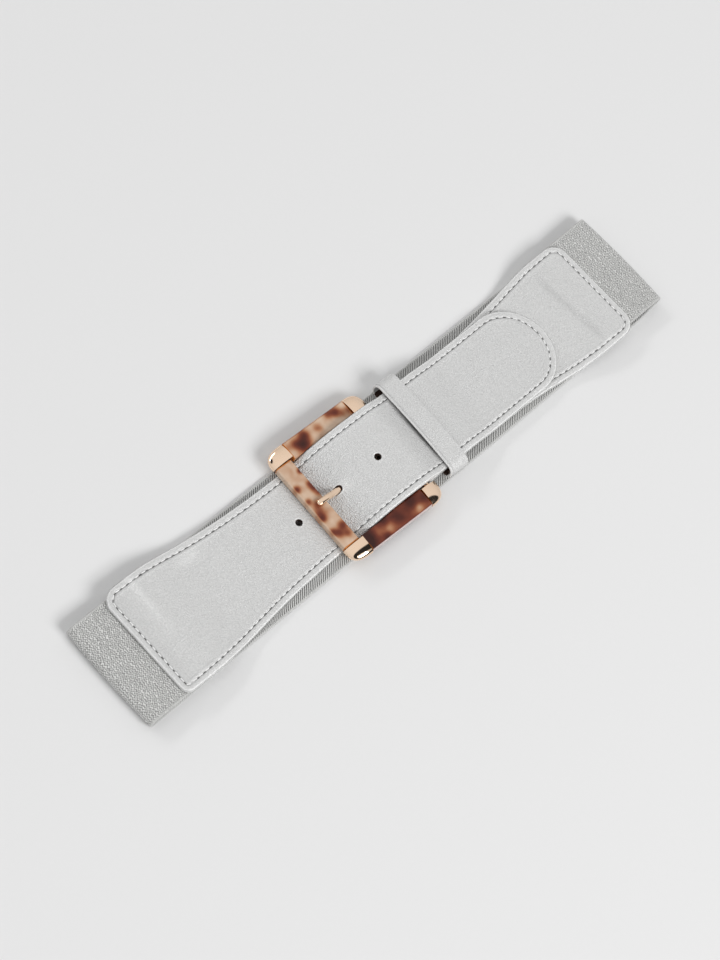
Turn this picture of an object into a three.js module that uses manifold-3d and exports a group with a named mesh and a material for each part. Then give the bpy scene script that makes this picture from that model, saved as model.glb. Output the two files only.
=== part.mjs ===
// A wide elastic belt, fastened with its square buckle and lying flat on a surface.
// The loop is pressed into two layers: the elastic runs along the surface, turns up at a
// fold at each end, and is sewn under the wide ends of two leather pieces on top.
// Millimetres. +X runs along the belt towards the buckle tab's end, +Y across it, and +Z up.
import * as THREE from "three";
import { mergeGeometries, mergeVertices } from "three/addons/utils/BufferGeometryUtils.js";
import Module from "manifold-3d";

const wasm = await Module();
wasm.setup();

// Elastic
const loopLength = 365.4;
const bandWidth = 60;
const bandWall = 1.4;
const foldHeight = 7.4;
const foldBow = 0.8;
const foldReach = 30;
const stubLength = 41.8;
const stubEndHeight = 5;
const bandDrift = -1.2;

// Leather walls and the gap that lying layers keep
const strapWall = 2.3;
const tabWall = 1.9;
const keeperWall = 1.3;
const layerGap = 0.3;

// Wide ends of both leather pieces, with one tighter corner on the hole strap
const wideEndWidth = 62.4;
const wideEndStraight = 22;
const flareLength = 84;
const cornerRadius = 8.5;
const tightCornerRadius = 4.8;

// Hole strap
const strapWidth = 50.6;
const strapEndX = -160.2;
const strapTipX = 115.9;
const tipRounding = 23;
const strapStartY = 0.85;
const strapDrift = -3.1;
const strapDescent = 30;
const holeSpacing = 25.6;
const holeDiameter = 3.7;
const middleHoleShare = 0.193;

// Buckle tab
const tabInset = 2;
const tabWidth = strapWidth - tabInset;
const tabEndX = 157.4;
const tabEndSlant = 1.6;
const tabDrift = -0.75;
const tabReturn = 30;
const tabDescent = 30;
const returnSlope = 6;
const slotSide = 1.2;

// Keeper
const keeperX = 25.4;
const keeperShift = -0.9;
const keeperWidth = 11.6;
const keeperEase = 7.2;
const keeperLength = strapWidth + keeperEase + 2 * keeperWall;
const keeperCorner = 4.6;
const keeperSlack = 1.6;
const keeperSkew = -2.4;
const keeperFlat = 1.6;

// Buckle frame
const hingeX = 5.6;
const frameShift = -1.35;
const frameSkew = -2.3;
const openingEase = 2.2;
const openingWidth = strapWidth + openingEase;
const openingLength = 46.6;
const sideBarWidth = 8.1;
const frontBarWidth = 9.6;
const barThickness = 5;
const barEdge = 1.1;
const capThickness = 6.8;
const capProud = 0.9;
const capCollar = 1.5;
const capRoundness = 2.6;
const capSquareness = 3;
const backCapLength = 9.7;
const backCapReach = 5.4;
const seatGap = 0.3;

// Hinge bar and prong
const hingeRadius = 2.1;
const hingeSocket = 3;
const wrapSlack = 0.5;
const prongWidth = 3.2;
const prongHeight = 2.4;
const prongRingWall = 1.4;
const prongOverBar = 5.6;
const prongTipRadius = 1.2;
const prongSkew = 0.6;

// How finely curves are cut
const pathStep = 2.2;
const flareStep = 6.6;
const stubStep = 8.8;
const foldSteps = 10;
const wrapSteps = 12;
const cornerSteps = 8;
const bandSteps = 12;
const bandEdgeStep = 16;
const roundSides = 32;
const capSides = 10;
const capRows = 7;
const slopeReach = 0.5;

// Shape of the flare from the wide end to the strap: shares of its length and of the extra width
const flareRows = [
  { along: 0, extra: 1 },
  { along: 0.16, extra: 0.86 },
  { along: 0.32, extra: 0.62 },
  { along: 0.49, extra: 0.36 },
  { along: 0.64, extra: 0.19 },
  { along: 0.82, extra: 0.06 },
  { along: 1, extra: 0 },
];

// Sideways run of the elastic's lower layer: shares of half the belt and of its whole drift
const bandDriftRows = [
  { along: -1, drift: 0 },
  { along: -0.8, drift: 0.05 },
  { along: -0.35, drift: 0.6 },
  { along: 0, drift: 0.9 },
  { along: 0.35, drift: 1 },
  { along: 0.9, drift: 0.95 },
  { along: 1, drift: 0 },
];

// Sideways run of the hole strap: shares of its length and of its whole drift
const strapDriftRows = [
  { along: 0, drift: 0 },
  { along: 0.073, drift: 0.03 },
  { along: 0.218, drift: 0.13 },
  { along: 0.381, drift: 0.23 },
  { along: 0.508, drift: 0.5 },
  { along: 0.653, drift: 0.85 },
  { along: 0.798, drift: 0.97 },
  { along: 1, drift: 1 },
];

// Sideways run of the buckle tab from the hinge: shares of its length and of its whole drift
const tabDriftRows = [
  { along: -0.1, drift: -0.8 },
  { along: 0, drift: 0 },
  { along: 0.1, drift: 0.75 },
  { along: 0.28, drift: 1 },
  { along: 0.6, drift: 0.6 },
  { along: 0.85, drift: 0.75 },
  { along: 1, drift: 0.75 },
];

// Rise of the strap from under the front bar to over the hinge bar, as shares of both
const strapRiseRows = [
  { along: -0.025, lift: 0 },
  { along: 0.021, lift: 0.032 },
  { along: 0.064, lift: 0.133 },
  { along: 0.129, lift: 0.314 },
  { along: 0.193, lift: 0.473 },
  { along: 0.279, lift: 0.622 },
  { along: 0.365, lift: 0.729 },
  { along: 0.536, lift: 0.878 },
  { along: 0.751, lift: 0.973 },
  { along: 1, lift: 1 },
];

// The prong from the hinge bar to its tip: shares of its reach and of its rise over the front bar
const prongRows = [
  { along: 0.046, lift: 0.3 },
  { along: 0.22, lift: 0.3 },
  { along: 0.41, lift: 0.21 },
  { along: 0.563, lift: 0.143 },
  { along: 0.677, lift: 0.23 },
  { along: 0.79, lift: 0.52 },
  { along: 0.886, lift: 0.87 },
  { along: 0.962, lift: 1 },
  { along: 1, lift: 0.97 },
];

// Stack of the layers, from the surface up, and the height of whatever cuts through them all
const bandMid = bandWall / 2;
const strapLow = bandWall + layerGap + strapWall / 2;
const tabLow = bandWall + layerGap + tabWall / 2;
const wrapRadius = hingeRadius + wrapSlack + tabWall / 2;
const hingeZ = tabLow + wrapRadius;
const tabOverHinge = hingeZ + wrapRadius;
const returnInKeeper = bandWall + keeperWall + 2 * layerGap + tabWall / 2;
const tabInKeeper = returnInKeeper + tabWall + layerGap;
const strapOverHinge = tabOverHinge + (tabWall + strapWall) / 2 + layerGap;
const strapInKeeper = tabInKeeper + (tabWall + strapWall) / 2 + layerGap;
const frontBarZ = strapLow + strapWall / 2 + seatGap + barThickness / 2;
const frontBarTop = frontBarZ + barThickness / 2;
const cutHeight = 4 * strapOverHinge;

// Places along the belt
const foldEnd = loopLength / 2 - foldBow;
const sewnX = foldEnd - stubLength;
const frontBarInnerX = hingeX - openingLength;
const middleHoleX = frontBarInnerX + middleHoleShare * openingLength;
const returnEndX = hingeX + tabReturn;
const keeperStart = keeperX - keeperWidth / 2 - keeperFlat;
const keeperEnd = keeperX + keeperWidth / 2 + keeperFlat;

// A smooth height along X through rows of { x, z }, with no overshoot between two rows
function heightAlong(rows) {
  const count = rows.length;
  const rise = [];
  for (let i = 0; i < count - 1; i += 1) {
    rise.push((rows[i + 1].z - rows[i].z) / (rows[i + 1].x - rows[i].x));
  }
  const slope = rows.map((row, i) => {
    if (i === 0 || i === count - 1 || rise[i - 1] * rise[i] <= 0) {
      return 0;
    }
    return (2 * rise[i - 1] * rise[i]) / (rise[i - 1] + rise[i]);
  });
  return (x) => {
    if (x <= rows[0].x) {
      return rows[0].z;
    }
    if (x >= rows[count - 1].x) {
      return rows[count - 1].z;
    }
    const i = rows.findIndex((row, at) => at < count - 1 && x < rows[at + 1].x);
    const span = rows[i + 1].x - rows[i].x;
    const t = (x - rows[i].x) / span;
    const startBlend = (1 + 2 * t) * (1 - t) ** 2;
    const endBlend = t * t * (3 - 2 * t);
    const startPull = t * (1 - t) ** 2 * span;
    const endPull = t * t * (t - 1) * span;
    return startBlend * rows[i].z + endBlend * rows[i + 1].z + startPull * slope[i] + endPull * slope[i + 1];
  };
}

function slopeAt(height, x) {
  return (height(x + slopeReach) - height(x - slopeReach)) / (2 * slopeReach);
}

// The height of the middle of a sheet that lies on another sheet
function restOn(under, underWall, wall) {
  return (x) => under(x) + ((underWall + wall) / 2 + layerGap) * Math.hypot(1, slopeAt(under, x));
}

// Points along a height from one X to another, both ends included
function pathPoints(height, fromX, toX, step = pathStep) {
  const count = Math.ceil(Math.abs(toX - fromX) / step);
  const points = [];
  for (let i = 0; i <= count; i += 1) {
    const x = fromX + ((toX - fromX) * i) / count;
    points.push(new THREE.Vector2(x, height(x)));
  }
  return points;
}

// Points on a round turn, without its first and last, which the straight parts hold
function turnPoints(centre, radius, fromAngle, toAngle, steps) {
  const points = [];
  for (let i = 1; i < steps; i += 1) {
    const angle = THREE.MathUtils.degToRad(fromAngle + ((toAngle - fromAngle) * i) / steps);
    points.push(new THREE.Vector2(centre.x + radius * Math.cos(angle), centre.y + radius * Math.sin(angle)));
  }
  return points;
}

// The side view of a sheet: its middle line, half the wall to each side
function sheetProfile(middle, wall) {
  const left = [];
  const right = [];
  middle.forEach((point, i) => {
    const before = middle[Math.max(i - 1, 0)];
    const after = middle[Math.min(i + 1, middle.length - 1)];
    const across = after.clone().sub(before).normalize().rotateAround(new THREE.Vector2(), Math.PI / 2);
    left.push(point.clone().addScaledVector(across, wall / 2));
    right.push(point.clone().addScaledVector(across, -wall / 2));
  });
  return new THREE.Shape([...left, ...right.reverse()]);
}

// A side view in X and Z, drawn out across the belt
function acrossBelt(profile, width, steps = 1) {
  const geometry = new THREE.ExtrudeGeometry(profile, { depth: width, steps, bevelEnabled: false });
  geometry.translate(0, 0, -width / 2);
  geometry.rotateX(Math.PI / 2);
  return geometry;
}

// An outline in Y and Z, drawn out along the belt
function alongBelt(outline, length) {
  const geometry = new THREE.ExtrudeGeometry(outline, { depth: length, bevelEnabled: false });
  geometry.translate(0, 0, -length / 2);
  geometry.rotateX(Math.PI / 2);
  geometry.rotateZ(Math.PI / 2);
  return geometry;
}

// An outline seen from above, drawn out through the whole height of the belt
function planCutter(outline) {
  const geometry = new THREE.ExtrudeGeometry(outline, { depth: cutHeight, bevelEnabled: false });
  geometry.translate(0, 0, -cutHeight / 2);
  return geometry;
}

// Moves each corner of a geometry in plan, to where a function of its place puts it
function movedInPlan(geometry, place) {
  const position = geometry.attributes.position;
  for (let i = 0; i < position.count; i += 1) {
    const [x, y] = place(position.getX(i), position.getY(i), position.getZ(i));
    position.setXY(i, x, y);
  }
  return geometry;
}

// Runs a lying shape sideways along the belt, each line across it turned square to its path
function swayed(geometry, sideways) {
  return movedInPlan(geometry, (x, y) => [x - y * slopeAt(sideways, x), y + sideways(x)]);
}

// Takes that sideways run out of a shape again
function unswayed(geometry, sideways) {
  return movedInPlan(geometry, (x, y) => [x + (y - sideways(x)) * slopeAt(sideways, x), y - sideways(x)]);
}

function merged(geometry) {
  const bare = geometry.clone();
  bare.deleteAttribute("normal");
  bare.deleteAttribute("uv");
  return mergeVertices(bare, 1e-4);
}

function toSolid(geometry) {
  const closed = merged(geometry);
  const vertProperties = new Float32Array(closed.attributes.position.array);
  const triVerts = new Uint32Array(closed.index.array);
  return new wasm.Manifold(new wasm.Mesh({ numProp: 3, vertProperties, triVerts }));
}

function toGeometry(solid) {
  const mesh = solid.getMesh();
  const geometry = new THREE.BufferGeometry();
  geometry.setAttribute("position", new THREE.BufferAttribute(new Float32Array(mesh.vertProperties), 3));
  geometry.setIndex(new THREE.BufferAttribute(new Uint32Array(mesh.triVerts), 1));
  return geometry;
}

function namedMesh(name, geometry, finish) {
  geometry.computeVertexNormals();
  const mesh = new THREE.Mesh(geometry, new THREE.MeshStandardMaterial(finish));
  mesh.name = name;
  return mesh;
}

const silverLeather = { color: 0xcfcfcd, roughness: 0.45, metalness: 0.15 };
const greyElastic = { color: 0xa9a9a6, roughness: 0.9, metalness: 0 };
const mottledPlastic = { color: 0xa46a42, roughness: 0.2, metalness: 0 };
const paleGold = { color: 0xe8bd8e, roughness: 0.12, metalness: 1 };

// The top layer of elastic beside a fold, by its distance from the end of the belt
const foldRadius = foldHeight / 2;
const stubHeight = heightAlong([
  { x: foldRadius, z: foldHeight - bandWall / 2 },
  { x: stubLength / 2, z: (foldHeight + stubEndHeight) / 2 },
  { x: stubLength, z: stubEndHeight },
]);
const stubAt = (x) => stubHeight(foldEnd - Math.abs(x));
const bandSideways = heightAlong(bandDriftRows.map((row) => ({
  x: row.along * foldEnd,
  z: row.drift * bandDrift,
})));

function elasticBand() {
  const turn = foldRadius - bandWall / 2;
  const straight = foldEnd - foldRadius;
  const middle = [
    ...pathPoints(stubAt, sewnX, straight, stubStep),
    ...turnPoints(new THREE.Vector2(straight, foldRadius), turn, 90, -90, foldSteps),
    ...pathPoints(() => bandMid, straight, -straight, loopLength),
    ...turnPoints(new THREE.Vector2(-straight, foldRadius), turn, -90, -270, foldSteps),
    ...pathPoints(stubAt, -straight, -sewnX, stubStep),
  ];
  const sheet = acrossBelt(sheetProfile(middle, bandWall), 2 * bandWidth, bandSteps);
  movedInPlan(sheet, (x, y) => {
    const nearFold = THREE.MathUtils.smoothstep(Math.abs(x), foldEnd - foldReach, foldEnd);
    const bow = foldBow * (1 - (2 * y / bandWidth) ** 2);
    return [x + Math.sign(x) * bow * nearFold, y];
  });
  const lowerEdge = pathPoints((x) => bandSideways(x) - bandWidth / 2, -loopLength, loopLength, bandEdgeStep);
  const upperEdge = pathPoints((x) => bandSideways(x) + bandWidth / 2, loopLength, -loopLength, bandEdgeStep);
  const plan = new THREE.Shape([...lowerEdge, ...upperEdge]);
  const geometry = toGeometry(toSolid(sheet).intersect(toSolid(planCutter(plan))));
  movedInPlan(geometry, (x, y, z) => [x, z > foldRadius ? y - bandSideways(x) : y]);
  return namedMesh("elastic_band", geometry, greyElastic);
}

// One long edge of a leather piece, with its wide end at X = 0 and its narrow part towards +X
function flareEdge(narrowWidth) {
  const narrow = narrowWidth / 2;
  const extra = wideEndWidth / 2 - narrow;
  const extraAlong = heightAlong(flareRows.map((row) => ({ x: row.along, z: row.extra })));
  const edgeAlong = (x) => narrow + extra * extraAlong((x - wideEndStraight) / flareLength);
  return pathPoints(edgeAlong, wideEndStraight, wideEndStraight + flareLength, flareStep);
}

// The plan of a wide end, as the shape's points from the lower narrow edge round to the upper one
function wideEndPoints(narrowWidth, slant, lowerRadius) {
  const edge = flareEdge(narrowWidth);
  const half = wideEndWidth / 2;
  const lowX = slant / 2;
  const highX = -slant / 2;
  const lower = new THREE.Vector2(lowX + lowerRadius, lowerRadius - half);
  const upper = new THREE.Vector2(highX + cornerRadius, half - cornerRadius);
  return [
    ...edge.map((point) => new THREE.Vector2(point.x, -point.y)).reverse(),
    new THREE.Vector2(lower.x, -half),
    ...turnPoints(lower, lowerRadius, 270, 180, cornerSteps),
    new THREE.Vector2(lowX, lower.y),
    new THREE.Vector2(highX, upper.y),
    ...turnPoints(upper, cornerRadius, 180, 90, cornerSteps),
    new THREE.Vector2(upper.x, half),
    ...edge,
  ];
}

// The prong, in its own frame: the hinge axis is Y through the origin and the tip lies towards -X
const prongReach = openingLength + prongOverBar;
const prongRise = frontBarTop + seatGap + prongHeight / 2 - hingeZ;
const prongRingRadius = hingeRadius + seatGap;

// A spare of more than 0 makes the room that the prong needs, that much wider on every side
function prongSolid(spare) {
  const rows = prongRows.map((row) => ({ x: -row.along * prongReach, z: row.lift * prongRise })).reverse();
  const tipX = rows[0].x - spare;
  const middle = pathPoints(heightAlong(rows), tipX, rows[rows.length - 1].x, pathStep / 2);
  const width = prongWidth + 2 * spare;
  const shank = toSolid(acrossBelt(sheetProfile(middle, prongHeight + 2 * spare), width));
  const tipRadius = prongTipRadius + spare;
  const tip = new THREE.Shape();
  tip.moveTo(prongReach, -width / 2);
  tip.lineTo(prongReach, width / 2);
  tip.lineTo(tipX + tipRadius, width / 2);
  tip.absarc(tipX + tipRadius, width / 2 - tipRadius, tipRadius, Math.PI / 2, Math.PI);
  tip.absarc(tipX + tipRadius, tipRadius - width / 2, tipRadius, Math.PI, 1.5 * Math.PI);
  const ringRadius = prongRingRadius + prongRingWall + spare;
  const ring = new THREE.CylinderGeometry(ringRadius, ringRadius, width, roundSides);
  const bore = new THREE.CylinderGeometry(prongRingRadius, prongRingRadius, 2 * width, roundSides);
  return shank.intersect(toSolid(planCutter(tip))).add(toSolid(ring)).subtract(toSolid(bore));
}

function prongGeometry(spare) {
  return toGeometry(prongSolid(spare)).rotateZ(THREE.MathUtils.degToRad(prongSkew));
}

// Where the buckle lies: its hinge axis in the fold of the tab
function buckleGroup() {
  const group = new THREE.Group();
  group.position.set(hingeX, frameShift, hingeZ);
  group.rotation.z = THREE.MathUtils.degToRad(frameSkew);
  return group;
}

// Heights of the buckle tab: the return under the keeper, and the long upper part
const returnHeight = heightAlong([
  { x: hingeX, z: tabLow },
  { x: keeperStart, z: returnInKeeper },
  { x: keeperEnd, z: returnInKeeper },
  { x: returnEndX, z: returnInKeeper - layerGap },
]);
const tabOnStub = restOn(stubAt, bandWall, tabWall);
const tabHeight = heightAlong([
  { x: hingeX, z: tabOverHinge },
  { x: keeperStart, z: tabInKeeper },
  { x: returnEndX + layerGap, z: tabInKeeper },
  { x: returnEndX + returnSlope * (tabInKeeper - tabLow), z: tabLow },
  { x: sewnX - tabDescent, z: tabLow },
  { x: sewnX - bandWall, z: tabOnStub(sewnX) },
  { x: (sewnX + tabEndX) / 2, z: tabOnStub((sewnX + tabEndX) / 2) },
  { x: tabEndX, z: tabOnStub(tabEndX) },
]);
const tabSideways = heightAlong(tabDriftRows.map((row) => ({
  x: hingeX + row.along * (tabEndX - hingeX),
  z: frameShift + row.drift * tabDrift,
})));

// Heights of the hole strap: on the elastic, through the buckle, and on the tab
const strapOnStub = restOn(stubAt, bandWall, strapWall);
const strapOnTab = restOn(tabHeight, tabWall, strapWall);
const strapLeft = heightAlong([
  { x: strapEndX, z: strapOnStub(strapEndX) },
  { x: (strapEndX - sewnX) / 2, z: strapOnStub((strapEndX - sewnX) / 2) },
  { x: bandWall - sewnX, z: strapOnStub(-sewnX) },
  { x: strapDescent - sewnX, z: strapLow },
]);
const strapInBuckle = heightAlong(strapRiseRows.map((row) => ({
  x: frontBarInnerX + row.along * openingLength,
  z: strapLow + row.lift * (strapOverHinge - strapLow),
})));
const strapSideways = heightAlong(strapDriftRows.map((row) => ({
  x: strapEndX + row.along * (strapTipX - strapEndX),
  z: strapStartY + row.drift * strapDrift,
})));

function strapHeight(x) {
  if (x > hingeX) {
    return strapOnTab(x);
  }
  return x > frontBarInnerX - frontBarWidth ? strapInBuckle(x) : strapLeft(x);
}

function holeStrap() {
  const path = pathPoints(strapHeight, strapEndX, strapTipX);
  const sheet = acrossBelt(sheetProfile(path, strapWall), 2 * bandWidth);
  const wideEnd = wideEndPoints(strapWidth, 0, tightCornerRadius);
  const plan = new THREE.Shape(wideEnd.map((point) => new THREE.Vector2(strapEndX + point.x, point.y)));
  plan.lineTo(strapTipX - tipRounding, strapWidth / 2);
  plan.absellipse(strapTipX - tipRounding, 0, tipRounding, strapWidth / 2, Math.PI / 2, -Math.PI / 2, true);
  let solid = toSolid(sheet).intersect(toSolid(planCutter(plan)));
  for (const step of [-1, 0, 1]) {
    const hole = new THREE.CylinderGeometry(holeDiameter / 2, holeDiameter / 2, cutHeight, roundSides / 2);
    hole.rotateX(Math.PI / 2);
    hole.translate(middleHoleX + step * holeSpacing, 0, 0);
    solid = solid.subtract(toSolid(hole));
  }
  const buckle = buckleGroup();
  buckle.updateMatrix();
  const room = unswayed(prongGeometry(seatGap).applyMatrix4(buckle.matrix), strapSideways);
  const geometry = toGeometry(solid.subtract(toSolid(room)));
  return namedMesh("hole_strap", swayed(geometry, strapSideways), silverLeather);
}

function buckleTab() {
  const middle = [
    ...pathPoints(returnHeight, returnEndX, hingeX),
    ...turnPoints(new THREE.Vector2(hingeX, hingeZ), wrapRadius, -90, -270, wrapSteps),
    ...pathPoints(tabHeight, hingeX, tabEndX + tabEndSlant),
  ];
  const sheet = acrossBelt(sheetProfile(middle, tabWall), 2 * bandWidth);
  const wideEnd = wideEndPoints(tabWidth, tabEndSlant, cornerRadius).reverse();
  const plan = new THREE.Shape(wideEnd.map((point) => new THREE.Vector2(tabEndX - point.x, point.y)));
  plan.lineTo(hingeX - 2 * wrapRadius, -tabWidth / 2);
  plan.lineTo(hingeX - 2 * wrapRadius, tabWidth / 2);
  const ringReach = prongRingRadius + prongRingWall + slotSide;
  const slot = new THREE.BoxGeometry(ringReach + 2 * wrapRadius, prongWidth + 2 * slotSide, cutHeight);
  slot.translate(hingeX + (ringReach - 2 * wrapRadius) / 2, 0, 0);
  const solid = toSolid(sheet).intersect(toSolid(planCutter(plan))).subtract(toSolid(slot));
  return namedMesh("buckle_tab", swayed(toGeometry(solid), tabSideways), silverLeather);
}

function roundedOutline(halfWidth, low, high, radius, curve) {
  curve.moveTo(halfWidth, low + radius);
  curve.absarc(halfWidth - radius, high - radius, radius, 0, Math.PI / 2);
  curve.absarc(radius - halfWidth, high - radius, radius, Math.PI / 2, Math.PI);
  curve.absarc(radius - halfWidth, low + radius, radius, Math.PI, 1.5 * Math.PI);
  curve.absarc(halfWidth - radius, low + radius, radius, 1.5 * Math.PI, 2 * Math.PI);
  return curve;
}

function keeperLoop() {
  const low = bandWall + layerGap;
  const high = strapInKeeper + strapWall / 2 + keeperSlack + keeperWall;
  const half = keeperLength / 2;
  const wall = keeperWall;
  const outline = roundedOutline(half, low, high, keeperCorner, new THREE.Shape());
  outline.holes.push(roundedOutline(half - wall, low + wall, high - wall, keeperCorner - wall, new THREE.Path()));
  const mesh = namedMesh("keeper_loop", merged(alongBelt(outline, keeperWidth)), silverLeather);
  mesh.position.set(keeperX, keeperShift, 0);
  mesh.rotation.z = THREE.MathUtils.degToRad(keeperSkew);
  return mesh;
}

// A bar's rounded section, drawn along its length and centred on the origin
function barAlongX(length, width) {
  const section = roundedOutline(width / 2, -barThickness / 2, barThickness / 2, barEdge, new THREE.Shape());
  return merged(alongBelt(section, length));
}

// The half outline of a corner's dome, from its lowest point round to its highest
function domeProfile() {
  const profile = [];
  for (let i = -capRows; i <= capRows; i += 1) {
    const angle = (i / capRows) * (Math.PI / 2);
    const radius = Math.abs(i) === capRows ? 0 : Math.cos(angle) ** (2 / capRoundness);
    const lift = Math.sign(i) * Math.abs(Math.sin(angle)) ** (2 / capRoundness);
    profile.push(new THREE.Vector2(radius, (lift * capThickness) / 2));
  }
  return profile;
}

// Takes a point of a round plan out to a plan with squarer corners
function squared(x, y) {
  const angle = Math.atan2(y, x);
  const sum = Math.abs(Math.cos(angle)) ** capSquareness + Math.abs(Math.sin(angle)) ** capSquareness;
  const reach = sum ** (-1 / capSquareness);
  return [x * reach, y * reach];
}

// A corner of the frame: a quarter of a dome whose two flat faces meet the bars. A turn of 0
// points it to +X and -Y, and each further turn goes a quarter round the frame.
function cornerCap(lengthX, lengthY, turn) {
  const profile = domeProfile();
  const dome = new THREE.LatheGeometry(profile, capSides, 0, Math.PI / 2);
  const startFace = new THREE.ShapeGeometry(new THREE.Shape(profile));
  const endFace = startFace.clone();
  startFace.rotateY(-Math.PI / 2);
  endFace.index.array.reverse();
  const quarter = merged(mergeGeometries([dome, startFace, endFace])).rotateX(Math.PI / 2);
  movedInPlan(quarter, squared);
  quarter.scale(turn % 2 ? lengthY : lengthX, turn % 2 ? lengthX : lengthY, 1);
  return quarter.rotateZ((turn * Math.PI) / 2);
}

function buckle() {
  const group = buckleGroup();
  const frame = new THREE.Group();
  frame.rotation.y = Math.asin((frontBarZ - hingeZ) / (openingLength + frontBarWidth / 2));
  group.add(frame);

  const innerY = openingWidth / 2;
  const frontX = -openingLength;
  const frontCap = { x: frontX + capCollar, length: frontBarWidth + capCollar + capProud };
  const backCap = { x: backCapReach - backCapLength, length: backCapLength };

  const front = namedMesh("front_bar", barAlongX(openingWidth - 2 * seatGap, frontBarWidth), mottledPlastic);
  front.rotation.z = Math.PI / 2;
  front.position.x = frontX - frontBarWidth / 2;
  frame.add(front);

  const sideStart = frontCap.x + seatGap;
  const sideEnd = backCap.x - seatGap;
  for (const [name, side] of [["left_bar", 1], ["right_bar", -1]]) {
    const bar = namedMesh(name, barAlongX(sideEnd - sideStart, sideBarWidth), mottledPlastic);
    bar.position.set((sideStart + sideEnd) / 2, side * (innerY + sideBarWidth / 2), 0);
    frame.add(bar);
  }

  const hingeLength = openingWidth + 2 * hingeSocket;
  const hinge = new THREE.CylinderGeometry(hingeRadius, hingeRadius, hingeLength, roundSides / 2);
  const roomRadius = hingeRadius + seatGap;
  const room = new THREE.CylinderGeometry(roomRadius, roomRadius, hingeLength + 2 * seatGap, roundSides / 2);
  const socket = toSolid(room);
  [backCap, backCap, frontCap, frontCap].forEach((cap, turn) => {
    const side = turn === 1 || turn === 2 ? 1 : -1;
    const dome = cornerCap(cap.length, sideBarWidth + capProud, turn).translate(cap.x, side * innerY, 0);
    const solid = cap === backCap ? toSolid(dome).subtract(socket) : toSolid(dome);
    frame.add(namedMesh(`corner_cap_${turn + 1}`, toGeometry(solid), paleGold));
  });

  frame.add(namedMesh("hinge_bar", merged(hinge), paleGold));
  group.add(namedMesh("prong", prongGeometry(0), paleGold));
  return group;
}

const belt = new THREE.Group();
belt.add(elasticBand(), holeStrap(), buckleTab(), keeperLoop(), buckle());

// The belt's origin is the middle of its box on the surface
belt.updateMatrixWorld(true);
const box = new THREE.Box3().setFromObject(belt, true);
belt.position.set(-(box.min.x + box.max.x) / 2, -(box.min.y + box.max.y) / 2, -box.min.z);

export default belt;
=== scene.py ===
# %% [markdown]
# # A wide elastic belt, finished for its picture
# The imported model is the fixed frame: every piece below lies where its solid lies. The soft
# pieces, the bars and the metal are made again here as finer meshes, because a polished or
# grained surface shows every facet. Plans and heights are written in millimetres, as a
# belt maker would note them, and turned into metres once, where a mesh is made.

# %% Load the frame
import math
import random

import bmesh
import bpy
import numpy as np
from mathutils import Matrix, Vector, noise


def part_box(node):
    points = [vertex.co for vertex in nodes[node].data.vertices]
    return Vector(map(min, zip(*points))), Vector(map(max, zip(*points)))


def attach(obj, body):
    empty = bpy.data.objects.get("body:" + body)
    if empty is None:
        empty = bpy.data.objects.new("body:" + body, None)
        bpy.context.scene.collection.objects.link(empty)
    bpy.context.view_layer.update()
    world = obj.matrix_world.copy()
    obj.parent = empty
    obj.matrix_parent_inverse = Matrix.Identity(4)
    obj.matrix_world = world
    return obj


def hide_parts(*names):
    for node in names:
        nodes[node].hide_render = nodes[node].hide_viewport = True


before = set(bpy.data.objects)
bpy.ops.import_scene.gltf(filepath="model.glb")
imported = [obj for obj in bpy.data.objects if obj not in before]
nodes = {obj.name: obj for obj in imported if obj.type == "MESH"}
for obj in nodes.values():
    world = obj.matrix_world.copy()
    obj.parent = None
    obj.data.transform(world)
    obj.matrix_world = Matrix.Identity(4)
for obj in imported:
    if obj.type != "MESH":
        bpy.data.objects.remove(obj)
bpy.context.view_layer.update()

MM = 0.001
random.seed(7)
print("nodes in the frame:", len(nodes))

# %% [markdown]
# ## The shared frame
# The solids were moved sideways so that their box is centred. The keeper is the same to both
# sides of its middle, so the middle of its box shows that move, and all that follows adds it.

# %% Find the frame's own shift
KEEPER_X, KEEPER_Y = 25.4, -0.9
low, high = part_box("keeper_loop")
SHIFT = np.array([(low.x + high.x) / 2 / MM - KEEPER_X, (low.y + high.y) / 2 / MM - KEEPER_Y, 0.0])
print("shift in mm:", SHIFT.round(3))

# %% [markdown]
# ## Heights and turns
# A strap that lies over other layers rises and falls softly. Its height is read from a short
# table through a curve that never overshoots, so no layer dips into the one below it.

# %% A smooth curve through a table
def curve_through(rows):
    """A function through (x, value) rows, level at both ends and with no overshoot."""
    xs = np.array([row[0] for row in rows], float)
    vs = np.array([row[1] for row in rows], float)
    rise = np.diff(vs) / np.diff(xs)
    slope = np.zeros(len(xs))
    for i in range(1, len(xs) - 1):
        if rise[i - 1] * rise[i] > 0:
            slope[i] = 2 * rise[i - 1] * rise[i] / (rise[i - 1] + rise[i])

    def value(x):
        x = np.clip(np.asarray(x, float), xs[0], xs[-1])
        i = np.clip(np.searchsorted(xs, x, side="right") - 1, 0, len(xs) - 2)
        span = xs[i + 1] - xs[i]
        t = (x - xs[i]) / span
        ends = (1 + 2 * t) * (1 - t) ** 2 * vs[i] + t * t * (3 - 2 * t) * vs[i + 1]
        return ends + t * (1 - t) ** 2 * span * slope[i] + t * t * (t - 1) * span * slope[i + 1]

    return value


def slope_of(curve, x):
    return curve(x + 0.5) - curve(x - 0.5)


def resting_on(under, under_wall, wall):
    """The middle height of a layer that lies on another one, a small gap above it."""
    return lambda x: under(x) + ((under_wall + wall) / 2 + GAP) * np.hypot(1, slope_of(under, x))


GAP = 0.3
print("curve check:", curve_through([(0, 0), (1, 1), (2, 1)])(0.5).round(3))

# %% [markdown]
# ## The layers, from the surface up
# The elastic lies on the surface and folds back over itself at both ends. The hole strap and
# the buckle tab are sewn on these folded ends. The tab turns round the hinge bar and comes
# back under the keeper, and the strap dips under the front bar and rises over the hinge.

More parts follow.
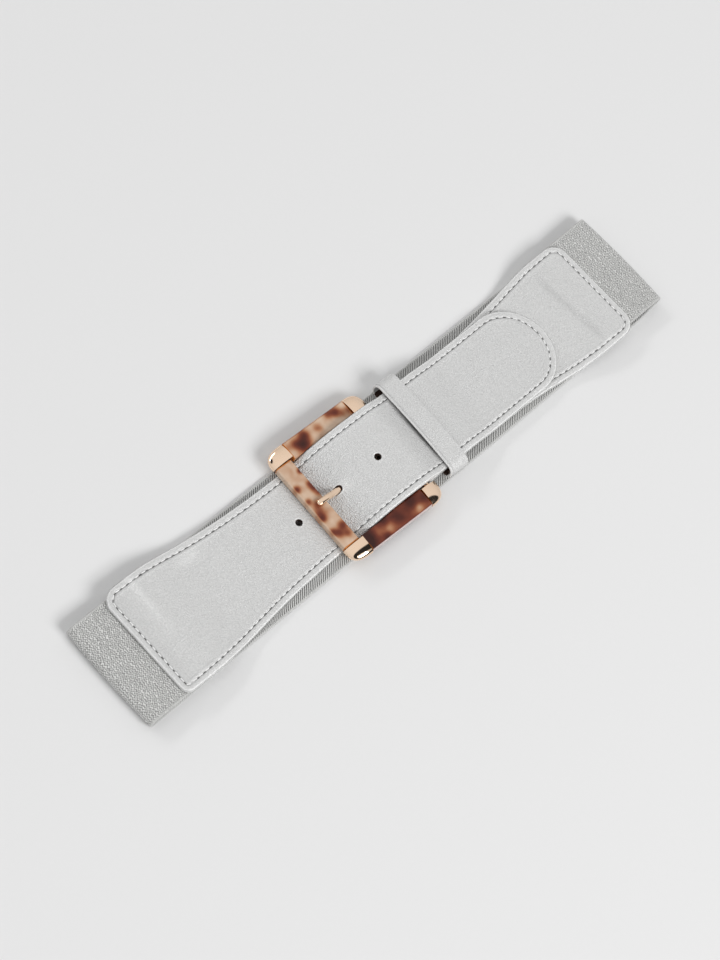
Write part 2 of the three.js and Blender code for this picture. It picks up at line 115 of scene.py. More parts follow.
# %% Sizes and heights of the layers
FOLD_END, STUB_LENGTH, SEWN_X = 181.9, 41.8, 140.1
BAND_WALL, BAND_WIDTH, FOLD_HEIGHT, FOLD_BOW = 1.4, 60.0, 7.4, 0.8
STRAP_WALL, TAB_WALL, KEEPER_WALL = 2.3, 1.9, 1.3
STRAP_START, STRAP_TIP, STRAP_HALF, KEEPER_ROOM = -160.2, 115.9, 24.9, 29.0
TAB_END, TAB_HALF, WIDE_HALF = 157.4, 24.3, 31.2
HINGE_X, FRAME_Y, HINGE_R = 5.6, -1.35, 2.1
OPENING_X, OPENING_Y, FRONT_BAR, SIDE_BAR = 46.6, 52.8, 9.6, 8.1
BAR_INNER_X = HINGE_X - OPENING_X

strap_low = BAND_WALL + GAP + STRAP_WALL / 2
tab_low = BAND_WALL + GAP + TAB_WALL / 2
wrap_radius = HINGE_R + 0.5 + TAB_WALL / 2
hinge_z = tab_low + wrap_radius
tab_over_hinge = hinge_z + wrap_radius
return_in_keeper = BAND_WALL + KEEPER_WALL + 2 * GAP + TAB_WALL / 2
tab_in_keeper = return_in_keeper + TAB_WALL + GAP
strap_step = (TAB_WALL + STRAP_WALL) / 2 + GAP
front_bar_z = strap_low + STRAP_WALL / 2 + GAP + 2.5

stub_curve = curve_through([(3.7, 6.7), (STUB_LENGTH / 2, 6.2), (STUB_LENGTH, 5.0)])


def stub_height(x):
    return stub_curve(FOLD_END - np.abs(x))


tab_on_stub = resting_on(stub_height, BAND_WALL, TAB_WALL)
strap_on_stub = resting_on(stub_height, BAND_WALL, STRAP_WALL)
return_end = HINGE_X + 30
return_height = curve_through([
    (HINGE_X, tab_low), (18, return_in_keeper), (32.8, return_in_keeper), (return_end, return_in_keeper - GAP),
])
tab_height = curve_through([
    (HINGE_X, tab_over_hinge), (18, tab_in_keeper), (return_end + GAP, tab_in_keeper),
    (return_end + 6 * (tab_in_keeper - tab_low), tab_low), (SEWN_X - 30, tab_low),
    (SEWN_X - BAND_WALL, tab_on_stub(SEWN_X)),
    ((SEWN_X + TAB_END) / 2, tab_on_stub((SEWN_X + TAB_END) / 2)),
    (TAB_END, tab_on_stub(TAB_END)),
])
print("hinge height:", round(hinge_z, 2), "strap over hinge:", round(tab_over_hinge + strap_step, 2))

# %% The hole strap's height and sideways run
RISE = [(-0.025, 0), (0.021, 0.032), (0.064, 0.133), (0.129, 0.314), (0.193, 0.473), (0.279, 0.622),
        (0.365, 0.729), (0.536, 0.878), (0.751, 0.973), (1, 1)]
STRAP_DRIFT = [(0, 0), (0.073, 0.03), (0.218, 0.13), (0.381, 0.23), (0.508, 0.5), (0.653, 0.85), (0.798, 0.97),
               (1, 1)]
TAB_DRIFT = [(-0.1, -0.8), (0, 0), (0.1, 0.75), (0.28, 1), (0.6, 0.6), (0.85, 0.75), (1, 0.75)]
BAND_DRIFT = [(-1, 0), (-0.8, 0.05), (-0.35, 0.6), (0, 0.9), (0.35, 1), (0.9, 0.95), (1, 0)]

strap_top = tab_over_hinge + strap_step
strap_in_buckle = curve_through([(BAR_INNER_X + s * OPENING_X, strap_low + v * (strap_top - strap_low))
                                 for s, v in RISE])
strap_left = curve_through([
    (STRAP_START, strap_on_stub(STRAP_START)),
    ((STRAP_START - SEWN_X) / 2, strap_on_stub((STRAP_START - SEWN_X) / 2)),
    (BAND_WALL - SEWN_X, strap_on_stub(-SEWN_X)), (30 - SEWN_X, strap_low),
])
strap_on_tab = resting_on(tab_height, TAB_WALL, STRAP_WALL)


def strap_height(x):
    x = np.asarray(x, float)
    lying = np.where(x > BAR_INNER_X - FRONT_BAR, strap_in_buckle(x), strap_left(x))
    return np.where(x > HINGE_X, strap_on_tab(x), lying)


strap_run = curve_through([(STRAP_START + s * (STRAP_TIP - STRAP_START), 0.85 - 3.1 * v) for s, v in STRAP_DRIFT])


def strap_sway(x):
    """The strap's sideways run, pushed a little aside where it lies in the buckle."""
    return strap_run(x) + 0.4 * np.exp(-((np.asarray(x, float) + 20) / 32) ** 2)


tab_sway = curve_through([(HINGE_X + s * (TAB_END - HINGE_X), FRAME_Y - 0.75 * v) for s, v in TAB_DRIFT])
band_sway = curve_through([(s * FOLD_END, -1.2 * v) for s, v in BAND_DRIFT])
print("strap at the prong hole:", strap_height(-32.0).round(2), "mm up")

# %% [markdown]
# ## From rings of points to a skin
# Straps, bands, bars and loops are all one closed outline moved along a path. Each place of the
# outline is a ring of points, and quads join ring to ring. This keeps full control of where the
# edges round off, which a solidify or bevel modifier would spread evenly over every edge.

# %% Skin a row of rings
def new_piece(name, points, faces):
    mesh = bpy.data.meshes.new(name)
    mesh.from_pydata(((np.asarray(points) + SHIFT) * MM).tolist(), [], faces)
    mesh.update()
    mesh.polygons.foreach_set("use_smooth", [True] * len(mesh.polygons))
    piece = bpy.data.objects.new(name, mesh)
    bpy.context.scene.collection.objects.link(piece)
    return piece


def skin_faces(count, size, joined=False):
    """Quads between count rings of size points each, with the two ends closed or joined."""
    faces = []
    for i in range(count if joined else count - 1):
        a, b = i * size, ((i + 1) % count) * size
        for k in range(size):
            n = (k + 1) % size
            faces.append((a + k, a + n, b + n, b + k))
    if not joined:
        faces.append(tuple(range(size))[::-1])
        faces.append(tuple((count - 1) * size + k for k in range(size)))
    return faces


def skinned(name, rings, joined=False):
    rings = np.asarray(rings, float)
    count, size, _ = rings.shape
    return new_piece(name, rings.reshape(-1, 3), skin_faces(count, size, joined))


def add_number(piece, name, values):
    """Stores one number for each point, which a material reads by that name."""
    layer = piece.data.attributes.new(name, "FLOAT", "POINT")
    layer.data.foreach_set("value", np.asarray(values, np.float32).ravel())


def mark_sharp(piece, degrees=38):
    piece.data.set_sharp_from_angle(angle=math.radians(degrees))


def finish_piece(piece, material, slot, *replaced):
    piece.data.materials.clear()
    piece.data.materials.append(material)
    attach(piece, "root")
    if replaced:
        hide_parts(*replaced)
    print(piece.name, len(piece.data.vertices), "points")
    return piece


print("skin of two rings of four:", len(skin_faces(2, 4)), "faces")

# %% [markdown]
# ## Effects that several finishes share
# Coated leather, webbing and plastic are told apart by small relief and small changes of tone.
# Each such effect is a node group with named values, so one recipe serves several materials.

# %% A short way to write nodes
def new_group(name, inputs, outputs):
    group = bpy.data.node_groups.new(name, "ShaderNodeTree")
    for label, kind, default in inputs:
        socket = group.interface.new_socket(name=label, in_out="INPUT", socket_type=kind)
        if default is not None:
            socket.default_value = default
    for label, kind in outputs:
        group.interface.new_socket(name=label, in_out="OUTPUT", socket_type=kind)
    start = group.nodes.new("NodeGroupInput")
    end = group.nodes.new("NodeGroupOutput")
    return group, start, end


def node(tree, kind, links=(), **settings):
    """Adds a node, sets its properties and default inputs, and links its inputs."""
    made = tree.nodes.new(kind)
    for key, value in settings.items():
        if hasattr(made, key):
            setattr(made, key, value)
        else:
            made.inputs[key.replace("_", " ")].default_value = value
    for socket, source in dict(links).items():
        tree.links.new(source, made.inputs[socket])
    return made


def ramp(tree, factor, stops):
    """A colour ramp through (place, colour) stops, where a single number stands for a grey."""
    made = tree.nodes.new("ShaderNodeValToRGB")
    elements = made.color_ramp.elements
    while len(elements) < len(stops):
        elements.new(0.5)
    for element, (place, colour) in zip(elements, stops):
        element.position = place
        element.color = (*(colour if isinstance(colour, tuple) else (colour,) * 3), 1)
    tree.links.new(factor, made.inputs["Fac"])
    return made


def shaded(tree, colour, shade):
    """A colour multiplied by a shade."""
    made = node(tree, "ShaderNodeMix", {6: colour, 7: shade}, data_type="RGBA", blend_type="MULTIPLY")
    made.inputs["Factor"].default_value = 1.0
    return made.outputs[2]


FLOAT, VECTOR = "NodeSocketFloat", "NodeSocketVector"

# %% Leather grain
def make_grain():
    group, start, end = new_group(
        "leather grain",
        [("Position", VECTOR, None), ("Cell size mm", FLOAT, 0.6), ("Fine amount", FLOAT, 0.4)],
        [("Height", FLOAT), ("Tone", FLOAT)],
    )
    size = node(group, "ShaderNodeMath", {0: start.outputs["Cell size mm"]}, operation="MULTIPLY")
    size.inputs[1].default_value = MM
    density = node(group, "ShaderNodeMath", {1: size.outputs[0]}, operation="DIVIDE")
    density.inputs[0].default_value = 1.0
    cells = node(group, "ShaderNodeTexVoronoi", {
        "Vector": start.outputs["Position"], "Scale": density.outputs[0]},
                 feature="SMOOTH_F1", Smoothness=0.6, Randomness=0.9)
    fine = node(group, "ShaderNodeTexNoise", {"Vector": start.outputs["Position"]}, Scale=2600.0, Detail=3.0,
                Roughness=0.6)
    fine_part = node(group, "ShaderNodeMath", {0: fine.outputs["Fac"], 1: start.outputs["Fine amount"]},
                     operation="MULTIPLY")
    height = node(group, "ShaderNodeMath", {0: fine_part.outputs[0], 1: cells.outputs["Distance"]},
                  operation="SUBTRACT")
    broad = node(group, "ShaderNodeTexNoise", {"Vector": start.outputs["Position"]}, Scale=55.0, Detail=2.0,
                 Roughness=0.5)
    lifted = node(group, "ShaderNodeMath", {0: height.outputs[0]}, operation="ADD")
    lifted.inputs[1].default_value = 0.4
    group.links.new(lifted.outputs[0], end.inputs["Height"])
    group.links.new(broad.outputs["Fac"], end.inputs["Tone"])
    return group


grain = make_grain()
print("group:", grain.name)

# %% Webbing knit: slanted loops in columns, in the strip's own along and across
def make_knit():
    group, start, end = new_group(
        "webbing knit",
        [("Along mm", FLOAT, 0.0), ("Across mm", FLOAT, 0.0), ("Column mm", FLOAT, 1.3), ("Loop mm", FLOAT, 1.0),
         ("Slant", FLOAT, 1.0), ("Uneven", FLOAT, 0.6)],
        [("Loops", FLOAT), ("Speckle", FLOAT)],
    )

    def maths(kind, first, second):
        made = group.nodes.new("ShaderNodeMath")
        made.operation = kind
        for socket, source in zip(made.inputs, (first, second)):
            if source is None:
                continue
            if isinstance(source, (int, float)):
                socket.default_value = source
            else:
                group.links.new(source, socket)
        return made.outputs[0]

    along, across = start.outputs["Along mm"], start.outputs["Across mm"]
    place = node(group, "ShaderNodeCombineXYZ", {"X": along, "Y": across})
    wander = node(group, "ShaderNodeTexNoise", {"Vector": place.outputs[0]}, Scale=0.45, Detail=3.0, Roughness=0.6)
    shift = maths("MULTIPLY", maths("SUBTRACT", wander.outputs["Fac"], 0.5), start.outputs["Uneven"])
    column = maths("DIVIDE", across, start.outputs["Column mm"])
    zigzag = maths("PINGPONG", column, 0.5)
    slanted = maths("MULTIPLY", zigzag, start.outputs["Slant"])
    rows = maths("ADD", maths("DIVIDE", along, start.outputs["Loop mm"]), maths("ADD", slanted, shift))
    wave = maths("SINE", maths("MULTIPLY", rows, 2 * math.pi), None)
    speckle = node(group, "ShaderNodeTexNoise", {"Vector": place.outputs[0]}, Scale=1.1, Detail=3.0, Roughness=0.7)
    group.links.new(wave, end.inputs["Loops"])
    group.links.new(speckle.outputs["Fac"], end.inputs["Speckle"])
    return group


knit = make_knit()
print("group:", knit.name)

# %% Handling marks: faint smears and rubs that vary the gloss
def make_smears():
    group, start, end = new_group(
        "handling marks",
        [("Position", VECTOR, None), ("Size", FLOAT, 90.0), ("Lowest", FLOAT, 0.3), ("Highest", FLOAT, 0.5)],
        [("Roughness", FLOAT)],
    )
    cloud = node(group, "ShaderNodeTexNoise", {"Vector": start.outputs["Position"], "Scale": start.outputs["Size"]},
                 Detail=4.0, Roughness=0.6, Distortion=0.4)
    spread = node(group, "ShaderNodeMapRange",
                  {"Value": cloud.outputs["Fac"], "To Min": start.outputs["Lowest"], "To Max": start.outputs["Highest"]})
    spread.inputs["From Min"].default_value = 0.35
    spread.inputs["From Max"].default_value = 0.65
    group.links.new(spread.outputs["Result"], end.inputs["Roughness"])
    return group


smears = make_smears()
print("group:", smears.name)

# %% [markdown]
# ## Silver leather
# The leather is a thin coated one: pale silver grey, fine pebbled grain and a satin gloss that
# changes a little from place to place. The coating carries a fine metallic pigment, so a small
# share of metal in the shader gives the soft sheen, and the grain is a bump, too fine for mesh.
# The number called edge_mm, the way in from the piece's edge, paints a highlight on the rounded rim
# and makes the margin a little paler, and the one called groove paints shade into the sewn line. Two
# more paint shade in creases, near the front bar, at the wide end and under the keeper, and highlights
# on folds, round the holes and beside the prong. Where the number called opened is high, the grain shows more.

# %% Make the leather material
def new_material(name):
    material = bpy.data.materials.new(name)
    material.use_nodes = True
    tree = material.node_tree
    return material, tree, tree.nodes["Principled BSDF"]


def placed(tree, group, links=(), **settings):
    made = tree.nodes.new("ShaderNodeGroup")
    made.node_tree = group
    for key, value in settings.items():
        made.inputs[key.replace("_", " ")].default_value = value
    for socket, source in dict(links).items():
        tree.links.new(source, made.inputs[socket])
    return made


def stored(tree, name):
    return node(tree, "ShaderNodeAttribute", attribute_name=name, attribute_type="GEOMETRY").outputs["Fac"]


def bump(tree, height, distance_mm, strength=1.0, under=None):
    made = node(tree, "ShaderNodeBump", {"Height": height}, Strength=strength, Distance=distance_mm * MM)
    if under is not None:
        tree.links.new(under, made.inputs["Normal"])
    return made.outputs["Normal"]


def make_leather():
    material, tree, shader = new_material("silver_leather")
    place = node(tree, "ShaderNodeTexCoord").outputs["Object"]
    skin = placed(tree, grain, {"Position": place}, Cell_size_mm=0.8, Fine_amount=0.6)
    gloss = placed(tree, smears, {"Position": place}, Size=60.0, Lowest=0.36, Highest=0.43)
    tone = ramp(tree, skin.outputs["Height"], [(0.05, (0.60, 0.60, 0.595)), (0.3, (0.642, 0.642, 0.637)),
                                                (0.55, (0.678, 0.678, 0.673))])
    edge_share = node(tree, "ShaderNodeMath", {0: stored(tree, "edge_mm")}, operation="DIVIDE")
    edge_share.inputs[1].default_value = 5.0
    # These shades paint light into the colour: shade in the groove and creases, highlights on the rim and folds.
    shades = [ramp(tree, stored(tree, "groove"), [(0.0, 1), (1.0, 0.72)]),
              ramp(tree, edge_share.outputs[0], [(0.0, 1.28), (0.12, 1.24),
                                                 (0.19, 1.04), (0.55, 1.03),
                                                 (0.68, 1)]),
              ramp(tree, stored(tree, "painted_shade"), [(0.0, 1), (0.4, 0.88),
                                                   (1.0, 0.38)]),
              ramp(tree, stored(tree, "painted_highlight"), [(0.0, 1), (1.0, 1.16)])]
    colour = tone.outputs["Color"]
    for shade in shades:
        colour = shaded(tree, colour, shade.outputs["Color"])
    tree.links.new(colour, shader.inputs["Base Color"])
    tree.links.new(gloss.outputs["Roughness"], shader.inputs["Roughness"])
    relief = bump(tree, skin.outputs["Height"], 0.32)
    opened = bump(tree, skin.outputs["Height"], 0.5, under=relief)
    surface = node(tree, "ShaderNodeMix", {"Factor": stored(tree, "opened"), 4: relief, 5: opened}, data_type="VECTOR")
    tree.links.new(surface.outputs[1], shader.inputs["Normal"])
    shader.inputs["Metallic"].default_value = 0.15
    shader.inputs["Specular IOR Level"].default_value = 0.5
    return material


leather = make_leather()


def make_back_and_shade():
    """The brown back and core of the leather, so dark that it also paints the shade in the holes and inside the
    keeper.
    """
    material, tree, shader = new_material("brown_back_and_shade")
    place = node(tree, "ShaderNodeTexCoord").outputs["Object"]
    nap = placed(tree, grain, {"Position": place}, Cell_size_mm=0.4, Fine_amount=0.9)
    tone = ramp(tree, nap.outputs["Tone"], [(0.3, (0.045, 0.026, 0.020)), (0.7, (0.065, 0.038, 0.030))])
    tree.links.new(tone.outputs["Color"], shader.inputs["Base Color"])
    tree.links.new(bump(tree, nap.outputs["Height"], 0.08), shader.inputs["Normal"])
    shader.inputs["Roughness"].default_value = 0.85
    shader.inputs["Specular IOR Level"].default_value = 0.2
    return material


brown_back_and_shade = make_back_and_shade()
print("materials:", leather.name, brown_back_and_shade.name)

# %% [markdown]
# ## Cutting a leather piece to its outline
# Each leather piece is a strip with a plan: how far it reaches to each side at every X. The mesh
# follows the strip with lines crowded near the edges, where the rim rounds off and the stitching
# pulls a groove. The relief comes from each point's way in to the nearest edge.

# %% Outlines of the wide ends, the flare and the tip
FLARE = curve_through([(0, 1), (0.16, 0.86), (0.32, 0.62), (0.49, 0.36), (0.64, 0.19), (0.82, 0.06), (1, 0)])


def wide_end_half(reach, narrow, radius):
    """Half the width at a way in from the wide end's edge, with a rounded corner."""
    reach = np.asarray(reach, float)
    flared = narrow + (WIDE_HALF - narrow) * FLARE((reach - 22) / 84)
    corner = radius - np.sqrt(np.clip(radius ** 2 - np.clip(radius - reach, 0, radius) ** 2, 0, None))
    return np.where(reach < radius, WIDE_HALF - corner, flared)


def tip_half(x, tip_x, length, half):
    share = np.clip((x - (tip_x - length)) / length, 0, 1)
    return half * np.sqrt(np.clip(1 - share ** 2, 0, None))


EDGE_STEPS = np.array([0, 0.05, 0.14, 0.28, 0.5, 0.8, 1.2, 1.6, 2.0, 2.3, 2.55, 2.75, 2.92, 3.08, 3.24, 3.4, 3.56,
                       3.72, 3.88, 4.04, 4.2, 4.38, 4.6, 4.9, 5.3, 5.8, 6.5, 7.5, 9.0])


def stations(start, stop, coarse, fine_from=None):
    """Places along a strip, crowded at both ends and finer after fine_from."""
    body_start, body_stop = start + EDGE_STEPS[-1], stop - EDGE_STEPS[-1]
    turn = body_stop if fine_from is None else fine_from
    body = np.linspace(body_start, turn, int((turn - body_start) / coarse) + 1)
    rest = [] if fine_from is None else np.linspace(turn, body_stop, int((body_stop - turn) / 0.45) + 1)[1:]
    return np.concatenate([start + EDGE_STEPS[:-1], body, rest, (stop - EDGE_STEPS[:-1])[::-1]])


def across_shares(half, spacing, fine_half=0.0):
    """Shares of the half width, crowded at the edges and within fine_half, from -1 to 1."""
    inner = half - EDGE_STEPS[-1]
    middle = np.linspace(-inner, inner, int(2 * inner / spacing) + 1)
    if fine_half:
        middle = middle[np.abs(middle) > fine_half + 0.3]
        middle = np.sort(np.concatenate([middle, np.linspace(-fine_half, fine_half, 22)]))
    edge = half - EDGE_STEPS[:-1]
    return np.concatenate([-edge, middle, edge[::-1]]) / half


def way_to_edge(points, outline):
    """The shortest way from each (x, y) point to a closed outline."""
    start, stop = outline, np.roll(outline, -1, axis=0)
    along = stop - start
    length = np.maximum((along ** 2).sum(1), 1e-12)
    best = np.full(len(points), 1e9)
    for a, d, l in zip(start, along, length):
        away = points - a
        t = np.clip((away @ d) / l, 0, 1)
        best = np.minimum(best, np.hypot(*(away - t[:, None] * d).T))
    return best


print("edge lines:", len(EDGE_STEPS), "strap stations:", len(stations(STRAP_START, STRAP_TIP, 1.5, 92)))

# %% Relief of a sewn leather face
SEAM_IN, SEAM_IN_WIDE = 3.5, 3.1
RIM = 0.75


def seam_in(from_wide_end):
    """The seam's way in from the edge: a little nearer to it at the wide end."""
    return SEAM_IN_WIDE + (SEAM_IN - SEAM_IN_WIDE) * np.clip((from_wide_end - 8) / 22, 0, 1)


def face_relief(edge_mm, seam_mm=SEAM_IN, rim=RIM, seam=True):
    """How far the face lies above its wall, by the way in from the edge."""
    drop = rim - np.sqrt(np.clip(rim ** 2 - np.clip(rim - edge_mm, 0, rim) ** 2, 0, None))
    if not seam:
        return -drop
    off = edge_mm - seam_mm
    groove = 0.50 * np.exp(-(off / 0.5) ** 2)
    margin = 0.14 * np.exp(-((off + 1.5) / 0.7) ** 2)
    panel = 0.24 * np.exp(-((off - 1.3) / 0.8) ** 2) + 0.06 * np.exp(-((off - 3.1) / 2.0) ** 2)
    return margin + panel - groove - drop


print("groove depth:", face_relief(np.array([SEAM_IN])).round(2), "mm")

# %% Lay a leather strip
def lay_strip(name, xs, zs, low_half, high_half, shares, wall, sway, outline, seam_where, wide_end, marks):
    """A closed strip: path points, half widths to -Y and +Y, and the relief on its face."""
    xs, zs = np.asarray(xs), np.asarray(zs)
    tangent = np.stack([np.gradient(xs), np.gradient(zs)], 1)
    tangent /= np.linalg.norm(tangent, axis=1)[:, None]
    normal = np.stack([-tangent[:, 1], tangent[:, 0]], 1)
    across = np.where(shares[None, :] < 0, shares[None, :] * low_half[:, None],
                      shares[None, :] * high_half[:, None])
    flat = np.stack([np.repeat(xs[:, None], len(shares), 1), across], -1).reshape(-1, 2)
    edge_mm = way_to_edge(flat, outline).reshape(across.shape)
    seam = seam_where(xs)[:, None]
    seam_mm = seam_in(np.abs(xs - wide_end))[:, None]
    lift = face_relief(edge_mm, seam_mm) * seam + face_relief(edge_mm, seam=False) * (1 - seam)
    rise, painted_shade, painted_highlight = (m.reshape(across.shape) for m in marks(flat[:, 0], flat[:, 1]))
    lift = lift + rise
    lift = lift + 0.05 * ripple(flat, 28.0).reshape(across.shape) * np.clip(edge_mm / 8, 0, 1)
    side = np.array([0.35, 0.0, -0.35])
    bulge = np.array([0.05, 0.09, 0.05])
    rings, edges = [], []
    for i in range(len(xs)):
        def put(offset, y):
            offset = np.broadcast_to(offset, np.shape(y))
            return np.stack([xs[i] + normal[i, 0] * offset, y, zs[i] + normal[i, 1] * offset], -1)

        top = put(wall / 2 + lift[i], across[i])
        high_side = put(side * wall, across[i, -1] + bulge)
        low_side = put(-side * wall, across[i, 0] - bulge)
        bottom = put(-wall / 2 + face_relief(edge_mm[i], seam=False) * -1, across[i])[::-1]
        rings.append(np.concatenate([top, high_side, bottom, low_side]))
        edges.append(np.concatenate([edge_mm[i], np.zeros(len(shares) + 6)]))
    rings, edges = np.array(rings), np.array(edges)
    turn = slope_of(sway, rings[..., 0])
    rings[..., 0], rings[..., 1] = rings[..., 0] - rings[..., 1] * turn, rings[..., 1] + sway(rings[..., 0])
    piece = skinned(name, rings)
    top_mask = np.zeros(rings.shape[:2])
    top_mask[:, :len(shares)] = 1
    seam_all = np.repeat(seam, rings.shape[1], 1)
    # Painted shade along the sewn groove.
    groove = np.exp(-((edges - seam_mm) / 0.26) ** 2) * top_mask * seam_all
    add_number(piece, "edge_mm", edges)
    add_number(piece, "groove", groove)
    for mark, values in (("painted_shade", painted_shade / MOST_SHADE), ("painted_highlight", painted_highlight)):
        full = np.zeros(rings.shape[:2])
        full[:, :len(shares)] = values * seam
        add_number(piece, mark, full)
    return piece


MOST_SHADE = 2.5


def ripple(flat, size):
    """A slow rise and fall, so that a flat face doesn't reflect like glass."""
    return np.array([noise.noise(Vector((x / size, y / size, 3.1))) for x, y in flat])


print("ripple check:", ripple([(1.0, 2.0)], 28.0).round(3))

# %% [markdown]
# ## The hole strap
# The long strap starts wide at its sewn end, narrows in a soft flare and ends in a rounded tip.
# It dips under the front bar and rises over the hinge, and the prong comes up through a hole.

# %% Strap outline and mesh
TIP_ROUND = 23.0


def strap_halves(x, radius):
    half = wide_end_half(x - STRAP_START, STRAP_HALF, radius)
    return np.where(x > STRAP_TIP - TIP_ROUND, tip_half(x, STRAP_TIP, TIP_ROUND, STRAP_HALF), half)


def strap_marks(x, y):
    """Rims round the holes, the push of the prong, the fold felt below, and painted light: rise, painted shade,
    painted highlight.
    """
    rise, painted_shade, painted_highlight = 0.0 * x, 0.0 * x, 0.0 * x
    for hole in hole_places:
        away = np.hypot(x - hole, y)
        rise = rise + 0.16 * np.exp(-((away - HOLE_R - 0.6) / 0.4) ** 2)
        rise = rise - 0.22 * np.clip(1 - (away - HOLE_R) / 0.28, 0, 1)
        # Painted highlight round the rim of each hole.
        painted_highlight = painted_highlight + 0.8 * np.exp(-((away - HOLE_R - 0.5) / 0.4) ** 2)
    push = np.exp(-np.hypot((x - MIDDLE_HOLE - 3.6) / 3.4, (y + 0.4) / 3.0) ** 2)
    rise = rise + 0.40 * push
    # Painted highlight where the prong pushes the strap up.
    painted_highlight = painted_highlight + 1.0 * push
    line = x - 0.03 * y
    fold = np.exp(-((line + 138.0) / 2.6) ** 2) - np.exp(-((line + 142.5) / 2.6) ** 2)
    high = np.clip((y + 6) / 18, 0, 1)
    rise = rise - 0.30 * fold * high
    # Painted highlights along the fold and on a patch of the panel near the upper seam.
    painted_highlight = painted_highlight + 0.75 * high * np.exp(-((line + 144.6) / 1.7) ** 2)
    painted_highlight = painted_highlight + 0.75 * np.exp(-np.hypot((x + 113.0) / 8, (y - 20.5) / 2.6) ** 2)
    # Painted shade at the wide end, where the strap dips under the front bar, and under the keeper.
    painted_shade = painted_shade + 0.35 * np.clip((-148.5 - x) / 5, 0, 1)
    near_bar = np.clip((x - BAR_INNER_X + FRONT_BAR + 5) / 5, 0, 1) * (x < BAR_INNER_X - FRONT_BAR + 1)
    painted_shade = painted_shade + 0.5 * near_bar
    into_keeper = x - KEEPER_X - 0.042 * y + 6.3
    under_keeper = np.clip(into_keeper / 0.7, 0, 1) * (into_keeper < 10) * np.clip(1.15 - (y / 24) ** 2, 0, 1)
    painted_shade = painted_shade + MOST_SHADE * under_keeper
    return rise, np.clip(painted_shade, 0, MOST_SHADE), np.clip(painted_highlight, 0, 1)


def opened_grain(x):
    """Where the strap bends up in the buckle, its grain opens and shows more."""
    return 0.45 * np.exp(-((x + 36) / 12) ** 2)


HOLE_STEP, HOLE_R = 25.6, 1.85
MIDDLE_HOLE = BAR_INNER_X + 0.193 * OPENING_X
hole_places = [MIDDLE_HOLE - HOLE_STEP, MIDDLE_HOLE, MIDDLE_HOLE + HOLE_STEP]
strap_x = stations(STRAP_START, STRAP_TIP - 0.02, 1.4, STRAP_TIP - TIP_ROUND)
near_holes = [np.arange(hole - HOLE_R - 1.5, hole + HOLE_R + 1.6, 0.3) for hole in hole_places]
far = np.min([np.abs(strap_x - hole) for hole in hole_places], 0) > HOLE_R + 1.9
strap_x = np.sort(np.concatenate([strap_x[far]] + near_holes))
fine_x = np.unique(np.concatenate([strap_x, np.linspace(STRAP_START, STRAP_START + 10, 60),
                                   STRAP_TIP - TIP_ROUND * (1 - np.sin(np.linspace(0, math.pi / 2, 80)))]))
strap_outline = np.concatenate([
    np.stack([fine_x, -strap_halves(fine_x, 4.8)], 1),
    np.stack([fine_x, strap_halves(fine_x, 8.5)], 1)[::-1],
])
strap = lay_strip(
    "strap_leather", strap_x, strap_height(strap_x), strap_halves(strap_x, 4.8), strap_halves(strap_x, 8.5),
    across_shares(STRAP_HALF, 1.7, HOLE_R + 1.6), STRAP_WALL, strap_sway, strap_outline, lambda x: np.ones(len(x)),
    STRAP_START, strap_marks,
)
strap_rows_x = np.array([point.co.x for point in strap.data.vertices]) / MM - SHIFT[0]
add_number(strap, "opened", opened_grain(strap_rows_x))
print("strap points:", len(strap.data.vertices))

# %% [markdown]
# ## The buckle tab
# The shorter piece turns round the hinge bar and comes back under itself, where the keeper holds
# both layers. Its wide end is sewn to the other end of the elastic.

# %% Tab path, outline and mesh
def tab_path():
    back = np.linspace(return_end, HINGE_X, 24)
    angles = np.radians(np.linspace(-90, -270, 30)[1:-1])
    turn_x = HINGE_X + wrap_radius * np.cos(angles)
    turn_z = hinge_z + wrap_radius * np.sin(angles)
    front = np.concatenate([np.linspace(HINGE_X, TAB_END - EDGE_STEPS[-1], 108),
                            (TAB_END - EDGE_STEPS[:-1])[::-1]])
    xs = np.concatenate([back, turn_x, front])
    zs = np.concatenate([return_height(back), turn_z, tab_height(front)])
    return xs, zs, len(back) + len(turn_x)


tab_x, tab_z, tab_front = tab_path()
tab_half = np.where(np.arange(len(tab_x)) < tab_front, TAB_HALF, wide_end_half(TAB_END - tab_x, TAB_HALF, 8.5))
edge_x = np.unique(np.concatenate([np.linspace(-30, TAB_END, 400), np.linspace(TAB_END - 10, TAB_END, 60)]))
edge_half = wide_end_half(TAB_END - edge_x, TAB_HALF, 8.5)
tab_outline = np.concatenate([np.stack([edge_x, -edge_half], 1), np.stack([edge_x, edge_half], 1)[::-1]])


def tab_marks(x, y):
    """The crease where the tab climbs on the folded end of the elastic, with painted shade in it and a painted
    highlight near the corner: rise, shade, highlight.
    """
    along = x - 136.2 + 0.085 * y
    reach = np.clip((26 - np.abs(y)) / 6, 0, 1)
    rise = reach * (0.30 * np.exp(-((along - 3.4) / 2.2) ** 2) - 0.50 * np.exp(-(along / 2.0) ** 2))
    # Painted shade in the crease.
    painted_shade = reach * np.exp(-(along / 1.9) ** 2)
    # Painted highlight near the tab's lower corner.
    painted_highlight = np.exp(-np.hypot((x - 140.5) / 3.6, (y + 27.6) / 1.6) ** 2)
    return rise, painted_shade, painted_highlight


tab = lay_strip(
    "tab_leather", tab_x, tab_z, tab_half, tab_half, across_shares(TAB_HALF, 2.2), TAB_WALL, tab_sway, tab_outline,
    lambda x: (np.arange(len(x)) >= tab_front) * 1.0, TAB_END, tab_marks,
)
print("tab points:", len(tab.data.vertices))

# %% [markdown]
# ## Closing a mesh's faces outwards, and cutting it
# Booleans need faces that point outwards, so each piece gets its normals made consistent first.
# The holes are cut with round cutters that follow the strap's sideways run, then taken away.

